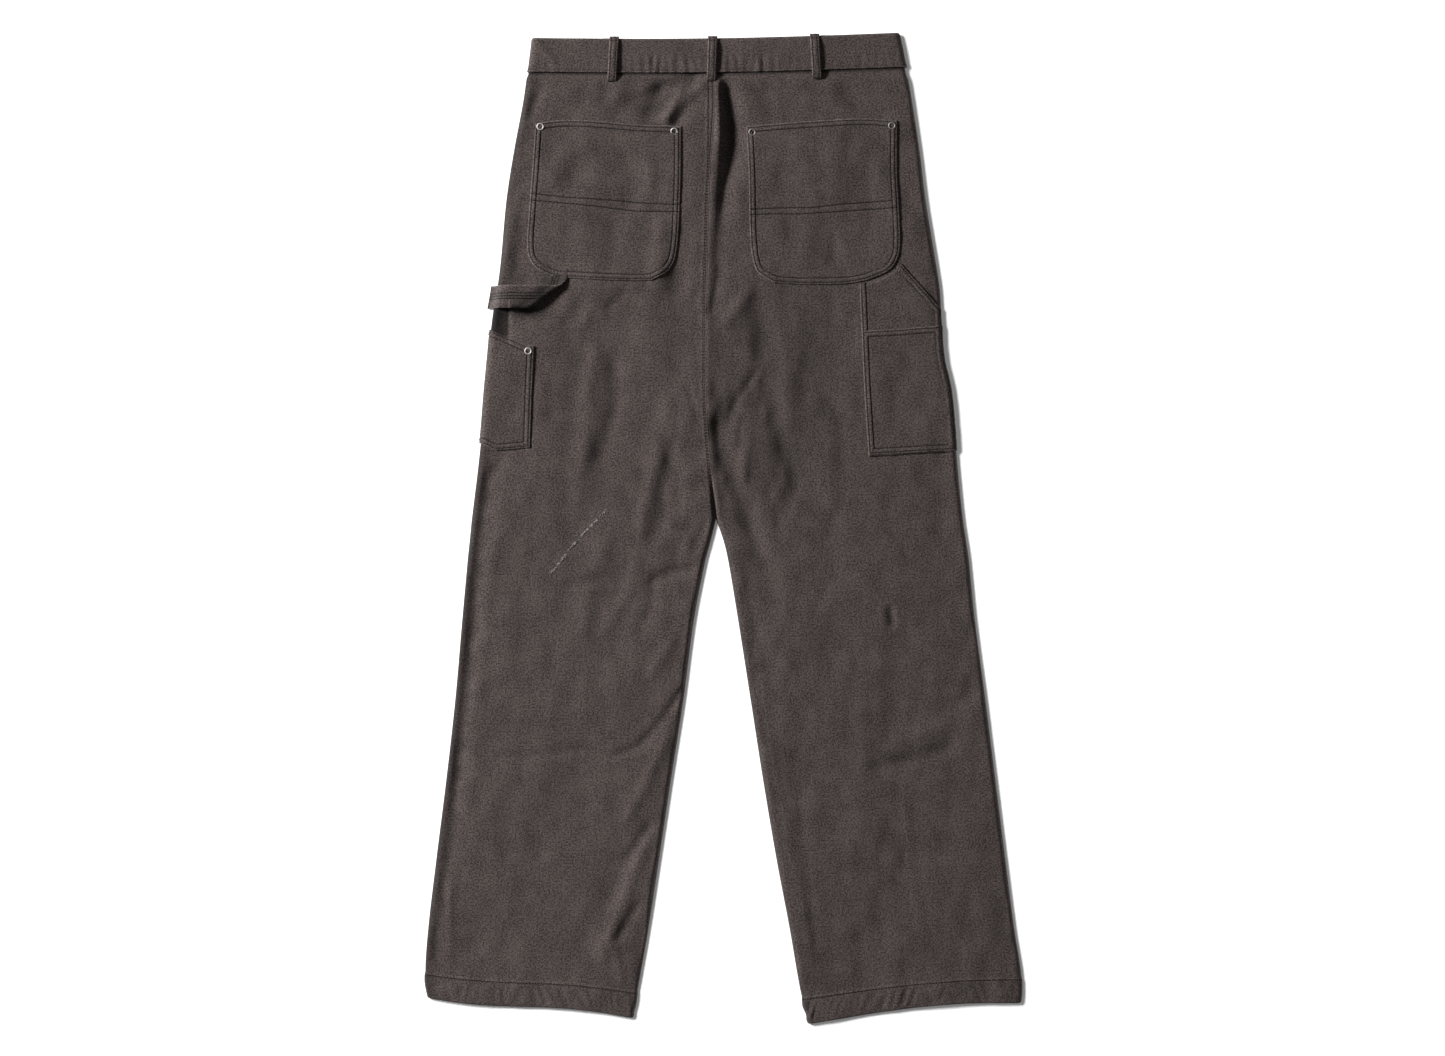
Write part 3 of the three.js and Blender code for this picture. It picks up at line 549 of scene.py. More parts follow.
def spaced(length, fine_start, fine_end, fine, coarse, sewn=(0, 0)):
    """Places of the threads along a length, closer together near its ends and where sewn."""
    middle_end = length - fine_end
    stops = [(0, fine), (fine_start, coarse), (middle_end, fine), (length, fine)]
    if sewn[1] > sewn[0]:
        stops[2:2] = [(sewn[0], fine), (sewn[1], coarse)]
    parts = [
        np.linspace(start, end, max(int((end - start) / pitch), 1), endpoint=False)
        for (start, pitch), (end, _) in zip(stops[:-1], stops[1:])
    ]
    return np.append(np.concatenate(parts), length) / length


def as_mesh(form, name, smooth=True):
    """The finished form as a mesh."""
    for face in form.faces:
        face.smooth = smooth
    mesh = bpy.data.meshes.new(name)
    form.to_mesh(mesh)
    form.free()
    return mesh


def cloth_sheet(name, node, columns, rows, place, wall):
    """A thin shell of cloth: place gives each modelled point, its place on the cut and a value that
    holds its wear with painted highlights and painted shade.
    """
    form = bmesh.new()
    form.loops.layers.uv.new("UVMap")
    across, down = len(columns) - 1, len(rows) - 1
    bmesh.ops.create_grid(form, x_segments=across, y_segments=down, size=1, calc_uvs=True)
    mesh = as_mesh(form, name)
    start = np.empty(len(mesh.vertices) * 3)
    mesh.vertices.foreach_get("co", start)
    start = start.reshape(-1, 3)
    s = columns[np.rint((start[:, 0] + 1) / 2 * across).astype(int)]
    t = rows[np.rint((1 - start[:, 1]) / 2 * down).astype(int)]
    x, y, z, u, v, wear_and_painted_light = place(s, t)
    mesh.vertices.foreach_set("co", to_frame(x, y, np.maximum(z, TABLE_TOUCH)).ravel())
    corners = np.empty(len(mesh.loops), int)
    mesh.loops.foreach_get("vertex_index", corners)
    uv = np.column_stack([u, v])[corners] * MM
    mesh.uv_layers["UVMap"].data.foreach_set("uv", uv.ravel())
    # Each point's value holds wear together with painted highlights and painted shade.
    wear_and_painted_light_values = mesh.attributes.new("wear_and_painted_light", "FLOAT", "POINT")
    wear_and_painted_light_values.data.foreach_set("value", np.clip(wear_and_painted_light, -1, 1))
    mesh.update()
    piece = show(name, mesh, canvas, "canvas", node)
    shell = piece.modifiers.new("cloth wall", "SOLIDIFY")
    shell.thickness = wall * MM
    shell.offset = -1


def show(name, mesh, finish, slot_name, *nodes):
    piece = bpy.data.objects.new(name, mesh)
    bpy.context.scene.collection.objects.link(piece)
    mesh.materials.append(finish)
    if nodes:
        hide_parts(*nodes)
    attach(piece, "root")
    return piece


def lay_thread(form, start, end, radius, rings, rise=0.0):
    """One thread from start to end, a long thin bead."""
    run = Vector(end - start)
    turn = run.to_track_quat("X", "Z").to_matrix().to_4x4()
    size = Matrix.Diagonal((run.length / 2, radius * MM, radius * MM, 1))
    middle = Matrix.Translation(Vector((start + end) / 2) + Vector((0, 0, rise * MM)))
    bmesh.ops.create_uvsphere(
        form, u_segments=6, v_segments=rings, radius=1, matrix=middle @ turn @ size
    )


def stitch_rows(name, rows):
    """Short threads laid end to end along each row, half bedded in the cloth."""
    sewn = bmesh.new()
    for places, surface in rows:
        places = np.array(places, float)
        steps = np.hypot(*np.diff(places, axis=0).T)
        along = np.concatenate([[0], np.cumsum(steps)])
        count = max(int(along[-1] / STITCH_PITCH), 1)
        at = (np.arange(count) + 0.5) * along[-1] / count
        half = STITCH_LENGTH / 2
        ends = []
        for shift in (-half, half):
            x = np.interp(at + shift, along, places[:, 0])
            y = np.interp(at + shift, along, places[:, 1])
            ends.append(to_frame(*surface(x, y)))
        row = bmesh.new()
        for first, last in zip(*ends):
            lay_thread(row, first, last, STITCH_RADIUS, 4)
        sewn_row = as_mesh(row, "row")
        sewn.from_mesh(sewn_row)
        bpy.data.meshes.remove(sewn_row)
    show(name, as_mesh(sewn, name), thread, "canvas")


def raised(surface, rise):
    """The same surface a little higher, for stitches that lie half bedded in it."""

    def above(x, y):
        x, y, z = surface(x, y)
        return x, y, z + rise

    return above


def seat_seam_x(y):
    return read_column(ABOVE_CROTCH, "y", "left_in", np.maximum(y, CROTCH))


def fell_width(y):
    """Width of the felled seat seam, which narrows down the seat."""
    return mix(FELL_NARROW, FELL_WIDE, ease(400, 470, y))


def from_hem(leg, v):
    return (2 - v) * (CROTCH - leg["hem_out_y"])


def panel_relief(leg_name, side, x, y, v):
    """Seams and hem of a leg panel, as height off the cloth."""
    leg = LEGS[leg_name]
    hem = from_hem(leg, v)
    across = x * leg["inward"]
    pitch = GATHER_PITCH + 1.5 * soft_noise(across, hem * 0, 30, 30, 11)
    gather = np.sin(2 * np.pi * (across + 0.35 * hem) / pitch + 2 * soft_noise(x, y, 24, 24, 12))
    depth = 0.5 + 0.4 * soft_noise(x, y, 22, 40, 13)
    relief = 1.0 * ease(28.2, 26.4, hem)
    relief = relief - 0.5 * bell(hem, HEM_ROW, 1.0) - 1.1 * bell(hem, 0, 0.9)
    relief = relief + depth * gather * ease(1, 7, hem) * ease(26, 18, hem)
    relief = relief + 0.25 * depth * gather * bell(hem, 29, 5) - 1.5 * ease(493, 500, y)
    if side > 0:
        from_seam, width = x - seat_seam_x(y), fell_width(y)
        felled = ease(-width - 0.6, -width, from_seam) * ease(CROTCH - 5, CROTCH + 15, y)
        felled = felled * (from_seam < 0.5)
        rows = bell(from_seam, -width + 1.2, 0.6) + bell(from_seam, -1.0, 0.6)
        relief = relief + 0.55 * felled - 0.4 * rows * felled
    return relief


def seam_wear_and_painted_light(leg_name, side, x, y, v):
    """Painted highlights and painted shade on a leg panel's seams, hem and rolled edges, under the
    band and under the hammer loop, some rubbing at the hem, and a darker ragged strip along the
    left outseam.
    """
    hem = from_hem(LEGS[leg_name], v)
    # Pale at the hem's edges, partly rubbing and partly painted highlight, and dark in the hem's
    # sewn row as painted shade of the sunk stitching.
    wear_and_painted_light = 0.4 * bell(hem, 27.6, 0.8) - 0.7 * bell(hem, HEM_ROW, 0.8) + 0.3 * bell(hem, 1.0, 1.2)
    # Painted shadow of the band: a dark line on the panel just under its lower edge.
    band_edge = mix(BAND["lower"][1], BAND["lower"][3], (x + 216) / 417)
    band_edge = band_edge - BAND["sag"] * np.cos(x / 133)
    wear_and_painted_light = wear_and_painted_light - 0.95 * bell(y, band_edge - 0.6, 1.6)
    from_seam = x - seat_seam_x(y)
    if side > 0:
        # Painted highlight on the seat seam's crest and painted shade in the hollow beside it.
        painted_seam_highlight_and_shade = 0.75 * bell(from_seam, 0.6, 1.0) - 0.34 * bell(from_seam, 5.5, 3.4)
        wear_and_painted_light = wear_and_painted_light + painted_seam_highlight_and_shade * ease(445, 400, y) * (y > CROTCH)
    left_edge = "left_out" if leg_name == "left" else "right_in"
    right_edge = "left_in" if leg_name == "left" else "right_out"
    from_left = x - outline_x(left_edge, y)
    from_right = outline_x(right_edge, y) - x
    below_crotch = ease(CROTCH - 10, CROTCH - 30, y)
    # Painted shade along the left-hand rolled edges and painted light along the right-hand ones.
    wear_and_painted_light = wear_and_painted_light - 0.38 * ease(6.5, 1.5, from_left) * (1 if leg_name == "left" else below_crotch)
    wear_and_painted_light = wear_and_painted_light + 0.4 * ease(5.5, 1, from_right) * (1 if leg_name == "right" else below_crotch)
    if side > 0 and leg_name == "left":
        # Darker in a ragged strip along the left outseam.
        ragged = 15 + 5 * soft_noise(x * 0, y, 1, 16, 71) + 2 * soft_noise(x * 0, y, 1, 5, 72)
        wear_and_painted_light = wear_and_painted_light - 0.32 * ease(ragged + 4, ragged - 5, from_left)
        # Painted shade in the crease beside the outseam and a painted shadow under the hammer loop.
        painted_crease_shade = ease(-235.6, -237.2, x) * ease(208, 213, y) * ease(246, 240, y)
        painted_strap_shadow = bell(x, -216, 20) * bell(y, 237, 7.5)
        wear_and_painted_light = wear_and_painted_light - 0.5 * painted_crease_shade - 0.85 * painted_strap_shadow
        # The seat seam's sewn rows darkened as painted shade of the sunk stitching.
        rows = bell(from_seam, -fell_width(y) + 1.2, 0.8) + bell(from_seam, -1.0, 0.8)
        wear_and_painted_light = wear_and_painted_light - (y > CROTCH) * mix(0.3, 0.8, ease(380, 430, y)) * rows
    return wear_and_painted_light


def leg_panel(name, node, leg_name, side):
    leg = LEGS[leg_name]
    fine, coarse = (1.3, 2.7) if side > 0 else (2.6, 7.0)
    outward = leg["inward"] * side > 0
    near_outseam = 24 if side > 0 else 8
    columns = spaced(255, near_outseam, 14, fine, coarse)
    columns = columns if outward else 1 - columns[::-1]
    rows = spaced(1045, 4, 32, fine, coarse)

    def place(s, t):
        v = 2 * t
        section = leg_section(leg, v)
        width = section_width(section)
        arc = width - 2 * section["roll"] + np.pi * section["roll"]
        distance = (s if outward else 1 - s) * arc
        offset = arc_to_offset(distance, width, section["roll"])
        x, y, _ = tube_point(section, side, offset, np.zeros_like(offset))
        relief = panel_relief(leg_name, side, x, y, v)
        x, y, z = tube_point(section, side, offset, relief)
        wear_and_painted_light = CREASE_SHADE * crease_height(x, y) * (side > 0) + seam_wear_and_painted_light(leg_name, side, x, y, v)
        return x, y, z, distance * leg["inward"], y, wear_and_painted_light

    cloth_sheet(name, node, columns, rows, place, CLOTH_WALL)


def back_face(leg_name):
    """The seen face of a back panel, with its seams and hem."""
    leg = LEGS[leg_name]

    def surface(x, y):
        section, offset, v = find_on_leg(leg, x, y)
        relief = panel_relief(leg_name, 1, np.asarray(x, float), np.asarray(y, float), v)
        return tube_point(section, 1, offset, relief)

    return surface


def line_distance(line, x, y):
    nearest = np.full(x.shape, 1e9)
    for (px, py), (qx, qy) in zip(line[:-1], line[1:]):
        rx, ry = qx - px, qy - py
        length = max(rx * rx + ry * ry, 1e-9)
        t = np.clip(((x - px) * rx + (y - py) * ry) / length, 0, 1)
        nearest = np.minimum(nearest, np.hypot(x - px - t * rx, y - py - t * ry))
    return nearest


def outline_distance(outline, x, y, share=1.0):
    """Distance from the cut edge of a pocket, or from its first share."""
    closed = np.vstack([outline, outline[:1]])
    return line_distance(closed[: int(share * len(outline)) + 1], x, y)


SEAT_POCKETS = {
    "left": dict(
        node="seat_pocket_left",
        sides=table(
            "t left right",
            (0, -207, -47), (0.3, -210.5, -47.2), (0.6, -214.5, -49), (0.78, -216.2, -51.2),
            (0.88, -213.5, -55), (0.95, -203, -64), (1, -184, -80),
        ),
        levels=table(
            "s top bottom",
            (0, 444.5, 275), (0.2, 448, 274), (0.45, 446.5, 272.5), (0.7, 443, 271.5),
            (1, 441.5, 271.5),
        ),
        middle_upper=[(-211, 367), (-174, 363), (-117, 359.4), (-86, 356.4), (-49, 355)],
        middle_lower=[(-213.5, 360), (-187, 357.5), (-130, 352), (-98, 348), (-50, 347)],
        sewn=(74, 105),
    ),
    "right": dict(
        node="seat_pocket_right",
        sides=table(
            "t left right",
            (0, 24.4, 190.3), (0.3, 27.1, 190.3), (0.6, 28, 192.7), (0.74, 29, 193.6),
            (0.85, 31.5, 191.5), (0.94, 38, 181), (1, 55, 157),
        ),
        levels=table(
            "s top bottom",
            (0, 441, 269.5), (0.15, 443.5, 268), (0.5, 447.7, 267.3), (0.8, 449.9, 268.5),
            (1, 447.4, 272),
        ),
        middle_upper=[(30, 350), (68, 351.4), (98, 351.7), (131, 355.6), (184, 359.4)],
        middle_lower=[(28, 344), (55, 344.8), (88, 344.8), (126, 347.4), (190.5, 351.8)],
        sewn=(80, 108),
    ),
}


def seat_pocket_place(pocket, s, t):
    sides, levels = pocket["sides"], pocket["levels"]
    x = mix(read_column(sides, "t", "left", t), read_column(sides, "t", "right", t), s)
    y = mix(read_column(levels, "s", "top", s), read_column(levels, "s", "bottom", s), t)
    return x, y


def edge_points(place):
    """The cut edge of a pocket, once round from its upper left corner."""
    run = np.linspace(0, 1, 61)[:-1]
    zero, one = np.zeros_like(run), np.ones_like(run)
    sides = [place(zero, run), place(run, one), place(one, 1 - run), place(1 - run, zero)]
    return np.concatenate([np.column_stack(side) for side in sides])


def pocket_relief(edge, middle):
    """Height of a pocket's face: rounded edge, sunk stitching and the welt between the rows."""
    relief = (POCKET_PLY + 0.4) * ease(-0.3, 0.7, edge)
    relief = relief - 0.45 * bell(edge, OUTER_ROW, 0.5) - 0.7 * bell(edge, INNER_ROW, 0.55)
    relief = relief + 0.45 * ease(OUTER_ROW, 4, edge) * ease(INNER_ROW, 5.5, edge)
    for line in middle:
        relief = relief - 0.8 * bell(line, 0, 0.8)
    return relief


def pocket_face(leg_name, outline, rows, under=0.0, folds=(), share=1.0):
    """The seen face of a flat pocket: its cut edge, and the rows and folds across it."""

    def relief(x, y):
        edge = outline_distance(outline, x, y, share)
        height = under + pocket_relief(edge, [line_distance(row, x, y) for row in rows])
        height = height + 0.22 * soft_noise(x, y, 4.0, 4.0, 21) * ease(12, 3, edge)
        for fold in folds:
            height = height - 0.25 * bell(line_distance(fold, x, y), 0, 1.6)
        if share < 1:
            tucked = line_distance(outline[int(share * len(outline)) :], x, y)
            height = height - 1.2 * ease(4, 1, tucked) * ease(3, 8, edge)
        return height, edge

    def surface(x, y):
        return on_leg(leg_name, x, y, relief(x, y)[0])

    return relief, surface


def flat_pocket(name, node, leg_name, columns, rows, where, face, sewn):
    relief, _ = face

    def place(s, t):
        x, y = where(s, t)
        height, edge = relief(x, y)
        x3, y3, z = on_leg(leg_name, x, y, height)
        wear_and_painted_light = CREASE_SHADE * crease_height(x, y) + edge_wear_and_painted_light(edge)
        # The rows sewn across the pocket darkened as painted shade of the sunk stitching.
        for row in sewn:
            wear_and_painted_light = wear_and_painted_light - 0.8 * bell(line_distance(row, x, y), 0, 0.65)
        return x3, y3, z, x, y, wear_and_painted_light

    cloth_sheet(name, node, columns, rows, place, POCKET_PLY - 0.1)


def edge_wear_and_painted_light(edge):
    """Pale on the folded edge, partly rubbed and partly painted highlight, a little paler between
    the rows, and dark along the two sewn rows as painted shade of the sunk stitching.
    """
    rows = 0.6 * bell(edge, OUTER_ROW, 0.55) + 0.85 * bell(edge, INNER_ROW, 0.65)
    return 0.7 * bell(edge, 0.4, 0.55) + 0.12 * bell(edge, 4.7, 1.6) - 0.95 * rows


def inset_rows(outline, distance, parts):
    """Lines that run inside a cut edge at one distance from it, over the given parts of it."""
    count = len(outline)
    ahead = np.roll(outline, -2, axis=0) - np.roll(outline, 2, axis=0)
    ahead = ahead / np.hypot(*ahead.T)[:, None]
    inner = outline + distance * np.column_stack([-ahead[:, 1], ahead[:, 0]])
    keep = outline_distance(outline, inner[:, 0], inner[:, 1]) > distance * 0.94
    lines = []
    for first, last in parts:
        picked = [i % count for i in range(int(first * count), int(last * count) + 1)]
        lines.append([tuple(inner[i]) for i in picked if keep[i]])
    return lines


def seat_pocket(leg_name):
    pocket = SEAT_POCKETS[leg_name]

    def where(s, t):
        return seat_pocket_place(pocket, s, t)

    outline = edge_points(where)
    middle = [pocket["middle_upper"], pocket["middle_lower"]]
    face = pocket_face(leg_name, outline, middle)
    columns = spaced(162, 10, 10, 0.55, 2.2)
    rows = spaced(176, 10, 12, 0.55, 2.2, pocket["sewn"])
    flat_pocket(
        "seat_pocket_patch_" + leg_name, pocket["node"], leg_name, columns, rows, where, face,
        middle,
    )
    lines = inset_rows(outline, OUTER_ROW, [(0, 1)]) + inset_rows(outline, INNER_ROW, [(0, 1)])
    surface = raised(face[1], STITCH_RISE)
    stitch_rows("stitching_seat_pocket_" + leg_name, [(line, surface) for line in lines + middle])


RULE_SIDES = table("t left", (0, 149), (0.28, 151.2), (0.6, 154), (1, 158.8))
RULE_UPPER = table(
    "s top bottom",
    (0, 267.6, 78.5), (0.09, 269.8, 79), (0.3, 276.4, 80), (0.45, 283.8, 81.4), (0.53, 292, 81.8),
    (0.6, 284.7, 82), (0.8, 262.9, 83), (1, 241, 84),
)
RULE_LOWER = table("s top bottom", (0, 216.4, 79.5), (0.5, 219, 82.4), (1, 222.6, 85))
RULE_TOP, RULE_BOTTOM = 266.0, 78.5
RULE_CREASE = [(153, 172), (190, 174), (236, 173)]

# Parts of each ply's edge that are sewn down, as shares of the way round from its upper left corner
RULE_BACK_SEWN = [(0.0, 0.18), (0.75, 0.865)]
RULE_FRONT_SEWN = [(0.0, 0.5), (0.75, 1.0)]


def rule_place(levels, s, t):
    top = np.interp(s, levels["s"], levels["top"])
    bottom = np.interp(s, levels["s"], levels["bottom"])
    y = mix(top, bottom, t)
    down = np.clip((RULE_TOP - y) / (RULE_TOP - RULE_BOTTOM), 0, 1)
    left = read_column(RULE_SIDES, "t", "left", down)
    return mix(left, outline_x("right_out", y) - 0.9, s), y


def rule_pockets():
    """Two plies on the right thigh: the upper one has a slanted mouth, the lower a level top."""
    for ply, levels, under, length, cut, area, node_name, share, sewn in (
        ("back", RULE_UPPER, 0.0, 200, 0.22, 0.018, "rule_pocket_upper", 0.867, RULE_BACK_SEWN),
        ("front", RULE_LOWER, 1.0, 138, 0.145, 0.0135, "rule_pocket_lower", 1.0, RULE_FRONT_SEWN),
    ):

        def where(s, t, levels=levels):
            return rule_place(levels, s, t)

        outline = edge_points(where)
        folds = [RULE_CREASE] if ply == "front" else []
        face = pocket_face("right", outline, [], under, folds, share)
        columns, rows = spaced(100, 10, 6, 0.6, 2.2), spaced(length, 10, 10, 0.6, 2.2)
        flat_pocket(
            "rule_pocket_" + ply + "_ply", node_name, "right", columns, rows, where, face, [],
        )
        lines = inset_rows(outline, OUTER_ROW, sewn) + inset_rows(outline, INNER_ROW, sewn)
        surface = raised(face[1], STITCH_RISE)
        stitch_rows("stitching_rule_pocket_" + ply, [(line, surface) for line in lines])


TOOL_TOP = [(-300, 222), (-257, 218.5), (-230, 206.5), (-217, 201), (-208, 199.6)]
TOOL_BOTTOM = [(-300, 96), (-267, 93), (-249.9, 84.8), (-212.7, 88)]
TOOL_INNER = [(-208, 199.6), (-210.5, 150), (-212.7, 88)]


def tool_pocket():
    """Pocket that wraps round the left outseam, with its mouth slanting up to the seam."""
    leg = LEGS["left"]
    top_x, top_y = np.array(TOOL_TOP).T
    bottom_x, bottom_y = np.array(TOOL_BOTTOM).T
    inner = np.array(TOOL_INNER)

    def inner_at(y):
        return np.interp(-y, -inner[:, 1], inner[:, 0])

    def where(s, t):
        y = mix(205.0, 88.0, t)
        reach = 2 * s - 1
        nominal = mix(outline_x("left_out", y), inner_at(y), np.abs(reach))
        y = mix(np.interp(nominal, top_x, top_y), np.interp(nominal, bottom_x, bottom_y), t)
        return reach, inner_at(y) - outline_x("left_out", y), y

    def relief_at(from_inner, from_top, from_bottom):
        edge = np.minimum(np.minimum(from_inner, from_top), from_bottom)
        return pocket_relief(edge, []) + 0.14 * ease(12, 3, edge) * soft_noise(
            from_inner, from_top, 4.5, 4.5, 31
        ), edge

    def section_at(y):
        return leg_section(leg, (leg["waist_y"] - y) / (leg["waist_y"] - CROTCH))

    def on_cloth(distance, y, relief):
        section = section_at(y)
        width = section_width(section)
        offset = arc_to_offset(np.abs(distance), width, section["roll"])
        upper = tube_point(section, 1, offset, relief)
        under = tube_point(section, -1, offset, relief)
        return [np.where(distance >= 0, a, b) for a, b in zip(upper, under)]

    def measure(x, y, reach, half):
        from_top = np.interp(x, top_x, top_y) - y
        from_bottom = y - np.interp(x, bottom_x, bottom_y)
        return relief_at((1 - np.abs(reach)) * half, from_top * 0.93, from_bottom)

    def place(s, t):
        reach, half, y = where(s, t)
        distance = reach * (half + section_at(y)["roll"] * (np.pi / 2 - 1))
        x, _, _ = on_cloth(distance, y, 0 * y)
        relief, edge = measure(x, y, reach, half)
        x, y3, z = on_cloth(distance, y, relief)
        return x, y3, z, distance, y, edge_wear_and_painted_light(edge) - 0.13

    columns, rows = spaced(120, 10, 10, 0.6, 2.2), spaced(125, 10, 10, 0.6, 2.2)
    cloth_sheet(
        "tool_pocket_patch", "tool_pocket_left", columns, rows, place, POCKET_PLY - 0.1,
    )

    def surface(x, y):
        out_x = outline_x("left_out", y)
        half = inner_at(y) - out_x
        relief, _ = measure(x, y, (x - out_x) / half, half)
        return on_leg("left", x, y, relief)

    lines = []
    for inset in (OUTER_ROW, INNER_ROW):
        run = np.linspace(-257 + 3, -208 - inset, 20)
        lines.append([(x, np.interp(x, top_x, top_y) - inset * 1.08) for x in run])
        run = np.linspace(199 - inset, 88 + inset, 30)
        lines.append([(inner_at(y) - inset, y) for y in run])
        run = np.linspace(-264, -212.7 - inset, 20)
        lines.append([(x, np.interp(x, bottom_x, bottom_y) + inset) for x in run])
    stitch_rows("stitching_tool_pocket", [(line, raised(surface, STITCH_RISE)) for line in lines])


STRAP_RISE = table(
    "d rise",
    (-4, 2.6), (3, 7.0), (12, 11.8), (24, 13.4), (36, 13.6), (48, 13.4), (60, 13.2), (90, 13.2),
)
STRAP_TOP = 266.2
STRAP_TURN_X = -186.0
STRAP_TURN = math.radians(36.6)
STRAP_ROWS = (-3.6, -0.4, 2.4)
STRAP_UNDER = 4.0


def strap_path(s, t):
    """The strap runs level, rolls under along a slanting fold, then climbs to the pocket."""
    along_x, along_y = math.cos(STRAP_TURN), math.sin(STRAP_TURN)
    y = STRAP_TOP - t * STRAP_WIDTH
    out_x = outline_x("left_out", y)
    turn_x = STRAP_TURN_X - t * STRAP_WIDTH * along_x / along_y
    level = turn_x - out_x + STRAP_UNDER
    rolled = np.pi * STRAP_FOLD / along_y
    climb_x, climb_y = along_x**2 - along_y**2, 2 * along_x * along_y
    after_y = y + rolled * along_x * along_y
    climb = (287 - after_y) / climb_y
    run = s * (level + rolled + climb)
    flat_run = np.minimum(run, level) - STRAP_UNDER
    angle = np.clip((run - level) / rolled, 0, 1) * np.pi
    rise_run = np.maximum(run - level - rolled, 0)
    out = STRAP_FOLD * np.sin(angle)
    slide = STRAP_FOLD * angle * along_x / along_y
    x = out_x + flat_run + out * along_y + slide * along_x + rise_run * climb_x
    y = y - out * along_x + slide * along_y + rise_run * climb_y
    return x, y, flat_run, angle, rise_run, level - run


def strap_point(s, t):
    x, y, flat_run, angle, rise_run, to_turn = strap_path(s, t)
    middle = (t - 0.5) * STRAP_WIDTH
    rise = read_column(STRAP_RISE, "d", "rise", flat_run)
    seen = np.cos(angle / 2)
    rise = rise - 0.45 * seen * sum(bell(middle, row, 0.7) for row in STRAP_ROWS)
    rise = rise + 0.35 * seen * bell(middle, -2.0, 1.0) + 0.3 * seen * bell(middle, 1.0, 1.0)
    rise = rise - 1.2 * bell(np.abs(middle), STRAP_WIDTH / 2, 1.1)
    rise = rise - STRAP_DROOP * ease(22, -2, to_turn) ** 1.5
    rise = rise - STRAP_FOLD * (1 - np.cos(angle)) - 0.1 * rise_run
    out_x = outline_x("left_out", y)
    section, _, _ = find_on_leg(LEGS["left"], out_x + 20, y)
    offset = np.maximum(x - out_x, 7.0)
    _, _, ground = tube_point(section, 1, offset, np.zeros_like(x))
    bend = ease(-STRAP_UNDER, 7, flat_run)
    side_z = section["roll"] + section["lift"] + section["side_lift"] - 3
    x = x - 3.4 * (1 - ease(-STRAP_UNDER, 12, flat_run))
    return x, y, mix(side_z, ground + rise, bend), flat_run, angle, rise_run, to_turn


def hammer_loop():
    """Strap from the outseam that folds under itself at a slant and runs up behind the pocket."""

    def place(s, t):
        x, y, z, flat_run, angle, rise_run, to_turn = strap_point(s, t)
        middle = (t - 0.5) * STRAP_WIDTH
        # Pale along the strap's seen edges, partly rubbing and partly painted highlight.
        wear_and_painted_light = 0.5 * bell(np.abs(middle), STRAP_WIDTH / 2 - 0.6, 0.6) * (angle < 1.5)
        # Dark sewn rows as painted shade of the sunk stitching, and the whole strap a little
        # darker.
        wear_and_painted_light = wear_and_painted_light - 0.9 * sum(bell(middle, row, 0.6) for row in STRAP_ROWS) - 0.22
        # Painted shade darkening towards the slanting fold and along the lower edge.
        wear_and_painted_light = wear_and_painted_light - 0.3 * ease(26, 0, to_turn) - 0.3 * bell(middle, STRAP_WIDTH / 2, 2.5)
        return x, y, z, flat_run + rise_run + 5 * angle, -middle, wear_and_painted_light

    columns, rows = spaced(110, 12, 4, 0.9, 1.1), spaced(STRAP_WIDTH, 2, 2, 0.6, 0.7)
    cloth_sheet(
        "hammer_loop_strap", "hammer_loop", columns, rows, place, STRAP_PLY,
    )
    sewn = []
    for middle in STRAP_ROWS:
        t = 0.5 + middle / STRAP_WIDTH
        run = np.linspace(0.02, 0.48, 24)
        x, y, z = strap_point(run, np.full_like(run, t))[:3]

        def surface(at, _, x=x, y=y, z=z):
            return at, np.interp(at, x, y), np.interp(at, x, z) + 0.05

        sewn.append((np.column_stack([x[3:], 0 * x[3:]]), surface))
    stitch_rows("stitching_hammer_loop", sewn)


BAND = dict(
    lower=(-216.5, 500.9, 201.2, 506.4), upper=(-211.2, 538.4, 193.4, 544.2),
    sag=3.2, roll=6.35, lift=2.3, height=38.0,
)
FRONT_CENTRE = -6.0
LAP = 18.0
LAP_RISE = 2.7
LAP_RAMP = 24.0


def band_section(w):
    lower, upper = BAND["lower"], BAND["upper"]
    return dict(
        out_x=mix(lower[0], upper[0], w),
        out_y=mix(lower[1], upper[1], w),
        in_x=mix(lower[2], upper[2], w),
        in_y=mix(lower[3], upper[3], w),
        roll=np.full_like(w, BAND["roll"]),
        lift=BAND["lift"],
        side_lift=0.0,
        crown=0.3,
        inner_roll=1.0,
        bow=-BAND["sag"],
        skew=0.0,
        creased=0.0,
    )


def band_relief(x, w, side):
    rise = w * BAND["height"]
    relief = -0.3 * bell(rise, 0, 0.5) - 0.5 * bell(rise, 2.3, 0.7) - 1.2 * bell(w, 1, 0.03)
    bend = 2.2 * soft_noise(x, rise, 14, 20, 43)
    ripple = 0.55 * np.sin(2 * np.pi * x / 9.5 + bend) * (1 + soft_noise(x, rise * 0, 13, 13, 44))
    ripple = (ripple + 0.5 * soft_noise(x, rise, 6.0, 16, 41)) * ease(24, 10, rise)
    shown = 0.25 + bell(x, -66, 34) + bell(x, 46, 40)
    relief = relief + ripple * shown + 0.5 * soft_noise(x, rise, 26, 20, 42)
    relief = relief + 0.7 * ease(0, 1, rise) * ease(5, 2, rise)
    lower_left = (x + 190) * 0.8 + (rise - 14) * 0.6
    return relief + (side > 0) * 1.2 * bell(lower_left, 0, 4) * bell(x, -195, 18)


